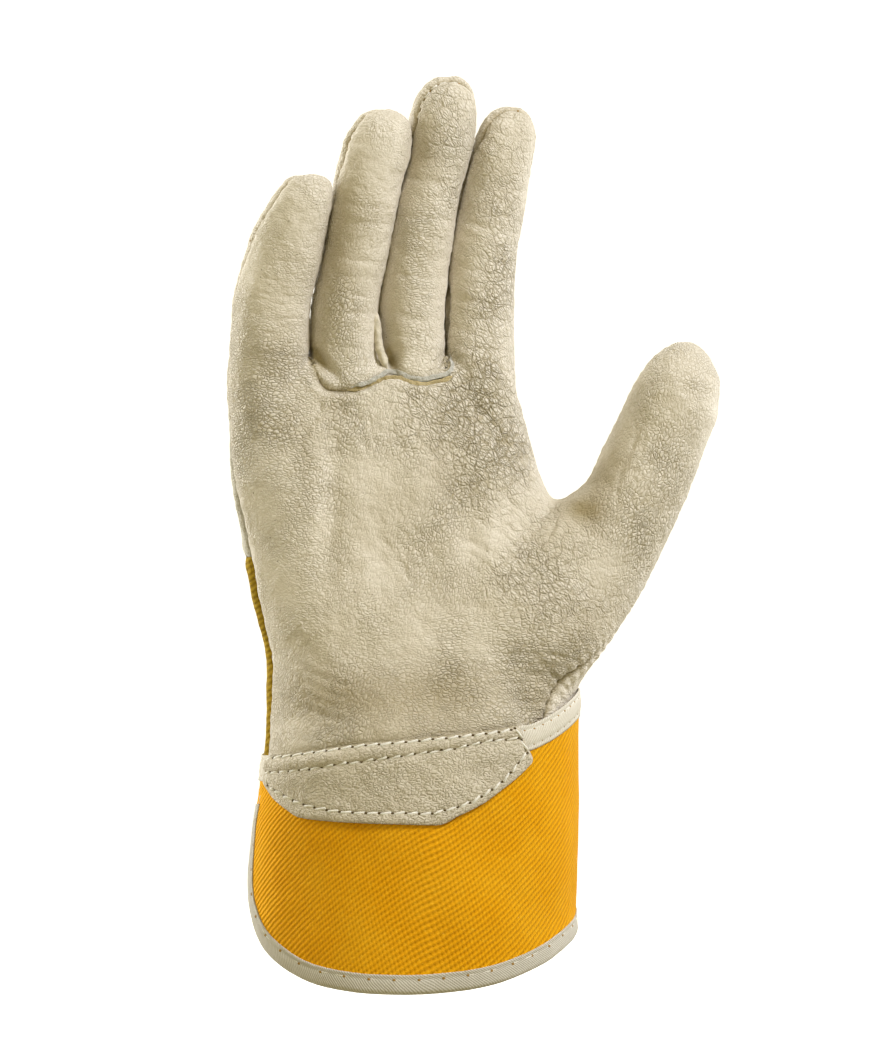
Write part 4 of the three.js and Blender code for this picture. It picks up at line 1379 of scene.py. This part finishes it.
def spaced(points, pitch):
    """Places every pitch along a dense path, and the direction there."""
    along = length_along(points)
    at = np.arange(FIRST_STITCH, along[-1], pitch)
    places = np.column_stack([np.interp(at, along, points[:, i]) for i in range(3)])
    ahead = np.column_stack([np.interp(at + 0.5, along, points[:, i]) for i in range(3)])
    behind = np.column_stack([np.interp(at - 0.5, along, points[:, i]) for i in range(3)])
    return places, ahead - behind


def dropped(piece_tree, places, outward):
    """Places moved onto a surface along the given outward directions."""
    found, normals = [], []
    for place, out in zip(places, outward):
        out = out / np.linalg.norm(out)
        hit, normal, _, _ = piece_tree.ray_cast(Vector((place + out * 6) * MM), Vector(-out))
        if hit is None:
            found.append(place)
            normals.append(out)
            continue
        normal = np.array(normal)
        found.append(np.array(hit) / MM)
        normals.append(normal if np.dot(normal, out) > 0 else -normal)
    return np.array(found), np.array(normals)


def tree_of(piece):
    """A search tree of a piece, to drop places onto it."""
    return BVHTree.FromPolygons([v.co.copy() for v in piece.data.vertices],
                                [tuple(p.vertices) for p in piece.data.polygons])


def sew(name, kind, piece_tree, path, outward):
    """A row of stitches along a path on a piece, and the needle holes between them."""
    pitch, sink, stretch, slim, hole, slant = SEWING[kind]
    places, ahead = spaced(path, pitch)
    here = np.arange(len(places))
    known = np.linspace(0, len(places) - 1, len(outward))
    out = np.column_stack([np.interp(here, known, outward[:, i]) for i in range(3)])
    places, normals = dropped(piece_tree, places, out)
    side = np.cross(normals, ahead)
    side /= np.maximum(np.linalg.norm(side, axis=1)[:, None], 1e-9)
    unit = ahead / np.linalg.norm(ahead, axis=1)[:, None]
    lifted = places + normals * (THREAD * slim * 0.3 - sink)
    thread = set_row(name, STITCH, lifted, unit + side * slant, normals, stretch, slim)
    between, hole_normals = dropped(piece_tree, places + unit * pitch / 2, normals)
    holes = set_row(f"{name}_holes", HOLE, between - hole_normals * 0.02, unit, hole_normals, hole, hole)
    return thread, holes


def tube_path(turns, heights):
    """A path a little off the tube, from turns in degrees, with outward directions."""
    turns = np.radians(turns)
    path = tube_point(turns, heights, 2)
    return path, tube_point(turns, heights, 7) - path


sewn = []
patch_tree = tree_of(patch)
tape_tree = tree_of(tape)
binding_tree = tree_of(binding)
turns = np.linspace(-163.5, -63.8, 300)
first_row = tube_path(turns, patch_edge(np.radians(turns), 1) - 0.3)
second_row = tube_path(turns - 1, row_two(np.radians(turns - 1)))
bottom_row = tube_path(*foot_row())
for name, (path, out) in {"patch_row_one": first_row, "patch_row_two": second_row,
                          "patch_row_foot": bottom_row}.items():
    sewn.append(sew(name, "patch", patch_tree, path, out))
turns = np.linspace(-62, 192, 700)
for name, offset in (("tape_row_upper", TAPE_ROW), ("tape_row_lower", -TAPE_ROW)):
    path, out = tube_path(turns, wrist_line(np.radians(turns)) + offset * TAPE_WIDTH / 2)
    sewn.append(sew(name, "tape", tape_tree, path, out))


def binding_row():
    """The row of stitches along the binding, with outward directions."""
    turn, z, _ = hem_curve(900)
    run = hem_direction(turn, z)
    turns = turn - run[:, 1] * BINDING_ROW / TURN_TO_MM
    return tube_path(turns, z + run[:, 0] * BINDING_ROW)


def finger_seam_path(number):
    """The seam up a finger's outer side and over its tip, with outward directions."""
    rows = np.array(DIGITS[NAMES[number]])
    top = rows[-1, 0] - TIP_RADIUS
    mine = (seam_high == 5 + number) & (seam_low <= 1)
    spots = skin[on_seam][mine]
    outward = skin_normal[on_seam][mine]
    middle = (column(NAMES[number], spots[:, 2], 1) + column(NAMES[number], spots[:, 2], 2)) / 2
    turn = math.pi - np.arctan2(spots[:, 2] - top, spots[:, 0] - middle)
    along = np.where(spots[:, 2] < top, spots[:, 2] - top, TIP_RADIUS * turn)
    usable = (spots[:, 0] < middle) | (spots[:, 2] > top)
    usable &= (spots[:, 2] > 122) & (along < TIP_RADIUS * 2.3)
    spots, outward, along = spots[usable], outward[usable], along[usable]
    steps = np.arange(along.min() + 1, along.max() - 1, 1.2)
    near = [np.abs(along - t) < 1.3 for t in steps]
    path = np.array([spots[n].mean(axis=0) for n in near if n.any()])
    out = np.array([outward[n].mean(axis=0) for n in near if n.any()])
    return path, out


for number, name in enumerate(NAMES):
    path, out = finger_seam_path(number)
    sewn.append(sew(f"{name}_seam_row", "finger", skin_tree, path, out))

path, out = binding_row()
sewn.append(sew("binding_row", "binding", binding_tree, path, out))
print("rows of stitches:", len(sewn))

# %% [markdown]
# ## Finishes
# Soft grain leather is pebbled: small rounded cells parted by fine valleys, crossed by a net of longer
# creases, with dark pores here and there. Its colour shifts between cream and olive, and painted shade
# darkens it in the valleys, at the seams and in listed spots on the palm side. The cloths show their
# weave: a steep twill on the cuff, a fine one on tape and binding. Relief that is too fine for the mesh
# is made with Bump nodes.

# %% Node helpers
class Finish:
    """A small writer for node materials."""

    def __init__(self, name, roughness):
        self.material = bpy.data.materials.new(name)
        self.material.use_nodes = True
        self.tree = self.material.node_tree
        self.shader = self.tree.nodes["Principled BSDF"]
        self.shader.inputs["Roughness"].default_value = roughness
        self.shader.inputs["Specular IOR Level"].default_value = 0.35

    def node(self, kind, settings=None, **links):
        made = self.tree.nodes.new(kind)
        for key, value in (settings or {}).items():
            setattr(made, key, value)
        for key, value in links.items():
            by_number = key[0] == "i" and key[1:].isdigit()
            self.put(made.inputs[int(key[1:]) if by_number else key], value)
        return made

    def put(self, socket, value):
        if isinstance(value, bpy.types.NodeSocket):
            self.tree.links.new(value, socket)
        else:
            socket.default_value = value

    def math(self, operation, first, second=0.0, clamp=False):
        made = self.node("ShaderNodeMath", {"operation": operation, "use_clamp": clamp}, i0=first, i1=second)
        return made.outputs[0]

    def add(self, first, second):
        return self.math("ADD", first, second)

    def times(self, first, second):
        return self.math("MULTIPLY", first, second)

    def vector(self, operation, first, second):
        return self.node("ShaderNodeVectorMath", {"operation": operation}, i0=first, i1=second).outputs[0]

    def between(self, value, low, high, to_low=0.0, to_high=1.0):
        made = self.node("ShaderNodeMapRange", {"clamp": True})
        for i, v in enumerate((value, low, high, to_low, to_high)):
            self.put(made.inputs[i], v)
        return made.outputs[0]

    def noise(self, coordinates, scale, detail=2.0, roughness=0.5, output="Fac"):
        made = self.node("ShaderNodeTexNoise", Vector=coordinates, Scale=scale, Detail=detail,
                         Roughness=roughness)
        return made.outputs[output]

    def cells(self, coordinates, scale, feature="F1", randomness=1.0):
        made = self.node("ShaderNodeTexVoronoi", {"feature": feature}, Vector=coordinates, Scale=scale,
                         Randomness=randomness)
        return made.outputs["Distance"]

    def mix(self, share, first, second):
        made = self.node("ShaderNodeMix", {"data_type": "RGBA"}, i0=share, i6=first, i7=second)
        return made.outputs[2]

    def bump(self, height, distance, strength=1.0, under=None):
        made = self.node("ShaderNodeBump", Strength=strength, Distance=distance * MM, Height=height)
        if under is not None:
            self.put(made.inputs["Normal"], under)
        return made.outputs["Normal"]

    def figure(self, name, output="Fac"):
        """A figure that is kept on the mesh's corners."""
        return self.node("ShaderNodeAttribute", {"attribute_name": name}).outputs[output]

    def place(self):
        return self.node("ShaderNodeTexCoord").outputs["Object"]

    def uv(self):
        return self.node("ShaderNodeTexCoord").outputs["UV"]

    def warped(self, coordinates, scale, amount):
        """Coordinates that wander by up to half the amount."""
        drift = self.noise(coordinates, scale, 2, output="Color")
        centred = self.vector("SUBTRACT", drift, (0.5, 0.5, 0.5))
        scaled = self.node("ShaderNodeVectorMath", {"operation": "SCALE"}, i0=centred, Scale=amount)
        return self.vector("ADD", coordinates, scaled.outputs[0])


# %% Leather
WRINKLE = 0.84
WRINKLE_STRETCH = 1.85
GRAIN_TURNS = (0, -48, 57)
GRAIN_RELIEF = 0.33
SWELL_RELIEF = 0.5
VEIN_CELLS = 340
PORE_CELLS = 360
PORE_BROWN = (0.20, 0.15, 0.07, 1)
# The brown that the painted shade spots darken the hide towards.
SHADE_BROWN = (0.34, 0.27, 0.135, 1)


def wrinkles(f, here, turn):
    """Rounded pillows of hide between thin grooves, longer along the given direction."""
    turned = f.node("ShaderNodeMapping", Vector=here, Rotation=(0, math.radians(turn), 0))
    longer = f.node("ShaderNodeMapping", Vector=turned.outputs[0], Scale=(1 / WRINKLE_STRETCH, 1, 1))
    edge = f.cells(longer.outputs[0], 1 / (WRINKLE * MM), "DISTANCE_TO_EDGE", 0.95)
    return f.between(edge, 0.0, 0.34)


def leather(name, light, middle, deep):
    """Grain pillows parted by creases that follow the lay, with painted shade in the creases, at the seams
    and in listed spots.
    """
    f = Finish(name, 0.56)
    here = f.place()
    bent_place = f.warped(f.warped(here, 120, 0.003), 480, 0.0007)
    shares = f.node("ShaderNodeSeparateXYZ", None, i0=f.figure("lay", "Vector")).outputs
    veined = f.add(f.times(shares[1], 0.9), 0.27)
    pillow = 0.0
    for share, turn in zip(shares, GRAIN_TURNS):
        pillow = f.add(pillow, f.times(wrinkles(f, bent_place, turn), share))
    pillow = f.math("SUBTRACT", f.times(pillow, 2.0), f.times(pillow, pillow))
    veins = f.between(f.cells(f.warped(here, 150, 0.004), VEIN_CELLS, "DISTANCE_TO_EDGE"), 0.0, 0.13)
    patchy = f.between(f.noise(here, 75, 3, 0.6), 0.3, 0.6, 0.55, 1.0)
    strength = f.times(patchy, f.figure("wrinkled"))
    fine = f.noise(here, 2300, 3, 0.6)
    height = f.times(f.add(pillow, f.times(veins, veined)), strength)
    height = f.add(height, f.times(fine, 0.26))
    swell = f.noise(here, 300, 1, 0.5)
    f.put(f.shader.inputs["Normal"], f.bump(height, GRAIN_RELIEF, under=f.bump(swell, SWELL_RELIEF)))
    tone = f.noise(here, 20, 4, 0.6)
    colour = f.mix(f.between(tone, 0.36, 0.62), middle, light)
    # Painted shade: the grain's grooves and veins darken the colour towards the deep colour.
    vein_dark = f.times(f.between(veins, 0.2, 0.9, 0.5, 0.0), veined)
    groove = f.math("MAXIMUM", f.between(pillow, 0.1, 0.72, 0.62, 0.0), vein_dark)
    crease = f.times(groove, strength)
    fleck = f.between(f.noise(bent_place, 420, 2), 0.5, 0.72, 0.0, 0.22)
    colour = f.mix(f.math("MAXIMUM", crease, fleck), colour, deep)
    dots = f.between(f.cells(here, PORE_CELLS, "F1"), 0.05, 0.12, 1.0, 0.0)
    some = f.between(f.noise(here, 40, 3), 0.47, 0.6)
    colour = f.mix(f.times(f.times(dots, some), 0.7), colour, PORE_BROWN)
    # Painted shade: the listed spots darken the colour towards the shade brown.
    colour = f.mix(f.times(f.figure("painted_shade_and_tone"), 0.85), colour, SHADE_BROWN)
    # Painted shade: the colour darkens towards the deep colour within about a millimetre of every seam and
    # row of stitches.
    colour = f.mix(f.between(f.figure("seam"), 0.1, 1.3, 0.75, 0.0), colour, deep)
    f.put(f.shader.inputs["Base Color"], colour)
    f.put(f.shader.inputs["Roughness"], f.between(fine, 0.3, 0.7, 0.48, 0.66))
    f.shader.inputs["Sheen Weight"].default_value = 0.1
    f.shader.inputs["Sheen Roughness"].default_value = 0.5
    return f.material


cream_hide = leather("cream_hide", (0.80, 0.75, 0.675, 1), (0.725, 0.67, 0.58, 1),
                     (0.37, 0.30, 0.155, 1))
patch_hide = leather("patch_hide", (0.715, 0.66, 0.565, 1), (0.645, 0.585, 0.485, 1),
                     (0.33, 0.27, 0.15, 1))
strap_hide = leather("strap_hide", (0.60, 0.57, 0.49, 1), (0.52, 0.49, 0.40, 1),
                     (0.28, 0.25, 0.17, 1))


# %% Cloths and threads
def twill(name, light, middle, deep, pitch, slope, relief, coordinates="uv"):
    """Diagonal ribs, each made of small bead-like floats."""
    f = Finish(name, 0.82)
    here = f.uv() if coordinates == "uv" else f.place()
    parts = f.node("ShaderNodeSeparateXYZ", None, i0=f.warped(here, 240, 0.0006)).outputs
    first, second = (parts[0], parts[1]) if coordinates == "uv" else (parts[0], parts[2])
    rib_angle = math.radians(slope)
    u = f.times(first, 2 * math.pi / (pitch * MM) * -math.sin(rib_angle))
    w = f.times(second, 2 * math.pi / (pitch * MM) * math.cos(rib_angle))
    rib = f.math("SINE", f.add(u, w))
    threads_on = f.times(first, 2 * math.pi / (pitch * MM * 0.72))
    lean = f.times(second, 2 * math.pi / (pitch * MM * 3.2))
    bead = f.math("SINE", f.add(threads_on, lean))
    weave = f.add(f.times(rib, 0.72), f.times(bead, 0.14))
    pits = f.between(f.add(rib, f.times(bead, 0.8)), -1.7, -0.8, 1.0, 0.0)
    weave = f.math("SUBTRACT", weave, f.times(pits, 0.35))
    fuzz = f.noise(here, 2400, 3, 0.65)
    height = f.add(weave, f.times(fuzz, 0.9))
    f.put(f.shader.inputs["Normal"], f.bump(height, relief, 0.9))
    shade = f.between(f.add(weave, f.times(fuzz, 0.8)), -0.5, 1.1)
    colour = f.mix(shade, deep, middle)
    worn = f.between(f.noise(here, 60, 3, 0.6), 0.4, 0.7)
    speck = f.between(f.noise(here, 900, 2, 0.6), 0.56, 0.75)
    colour = f.mix(f.times(f.math("ADD", f.times(worn, 0.5), speck, clamp=True), 0.45),
                   colour, light)
    f.put(f.shader.inputs["Base Color"], colour)
    f.shader.inputs["Specular IOR Level"].default_value = 0.08
    return f.material


yellow_twill = twill("yellow_twill", (1.0, 0.60, 0.03, 1), (0.93, 0.44, 0.004, 1),
                     (0.74, 0.32, 0.001, 1), 1.45, 40, 0.22)
# Painted shade: the back's canvas is the cuff's yellow twill made darker and olive, as it looks in shade.
shade_darkened_back_twill = twill("shade_darkened_back_twill", (0.50, 0.35, 0.05, 1), (0.38, 0.25, 0.014, 1),
                   (0.23, 0.14, 0.004, 1), 1.5, 40, 0.14, "object")
tape_twill = twill("tape_twill", (0.88, 0.86, 0.81, 1), (0.79, 0.755, 0.69, 1),
                   (0.58, 0.54, 0.46, 1), 0.75, 55, 0.06)
binding_twill = twill("binding_twill", (0.74, 0.72, 0.68, 1), (0.66, 0.635, 0.59, 1),
                      (0.44, 0.415, 0.365, 1), 0.6, 48, 0.05)


def plain(name, colour, roughness, rough_scale, relief):
    """One colour with a little grit."""
    f = Finish(name, roughness)
    grit = f.noise(f.place(), rough_scale, 3, 0.65)
    f.put(f.shader.inputs["Normal"], f.bump(grit, relief, 0.9))
    darker = tuple(c * 0.72 for c in colour[:3]) + (1,)
    f.put(f.shader.inputs["Base Color"], f.mix(f.between(grit, 0.3, 0.7), darker, colour))
    return f.material


thread_white = plain("thread_white", (0.96, 0.94, 0.89, 1), 0.6, 2500, 0.05)
# Painted shade: the needle holes are shallow dimples coloured dark brown on the patch and mid brown
# elsewhere.
needle_hole_shade = plain("needle_hole_shade", (0.10, 0.07, 0.03, 1), 0.9, 2500, 0.02)
needle_hole_shade_brown = plain("needle_hole_shade_brown", (0.40, 0.25, 0.08, 1), 0.9, 2500, 0.02)
welt_grey = plain("welt_grey", (0.60, 0.59, 0.55, 1), 0.9, 1100, 0.6)
raw_tan = plain("raw_tan", (0.56, 0.46, 0.26, 1), 0.95, 1300, 0.6)
edge_cream = plain("edge_cream", (0.72, 0.66, 0.54, 1), 0.6, 1300, 0.15)

# %% Put the finishes on
def dress(piece, material):
    """Gives a piece its finish in its one material slot."""
    piece.data.materials.clear()
    piece.data.materials.append(material)


for name, piece in hides.items():
    if name == "cloth_back":
        dress(piece, shade_darkened_back_twill)
    elif name == "knuckle_strap":
        dress(piece, strap_hide)
    else:
        dress(piece, cream_hide)
dress(patch, patch_hide)
dress(cuff, yellow_twill)
dress(binding, binding_twill)
dress(tape, tape_twill)
dress(welt, welt_grey)
dress(raw_edge, raw_tan)
dress(rolled_edge, edge_cream)
for thread, holes in sewn:
    dress(thread, thread_white)
    dress(holes, needle_hole_shade if holes.name.startswith("patch") else needle_hole_shade_brown)
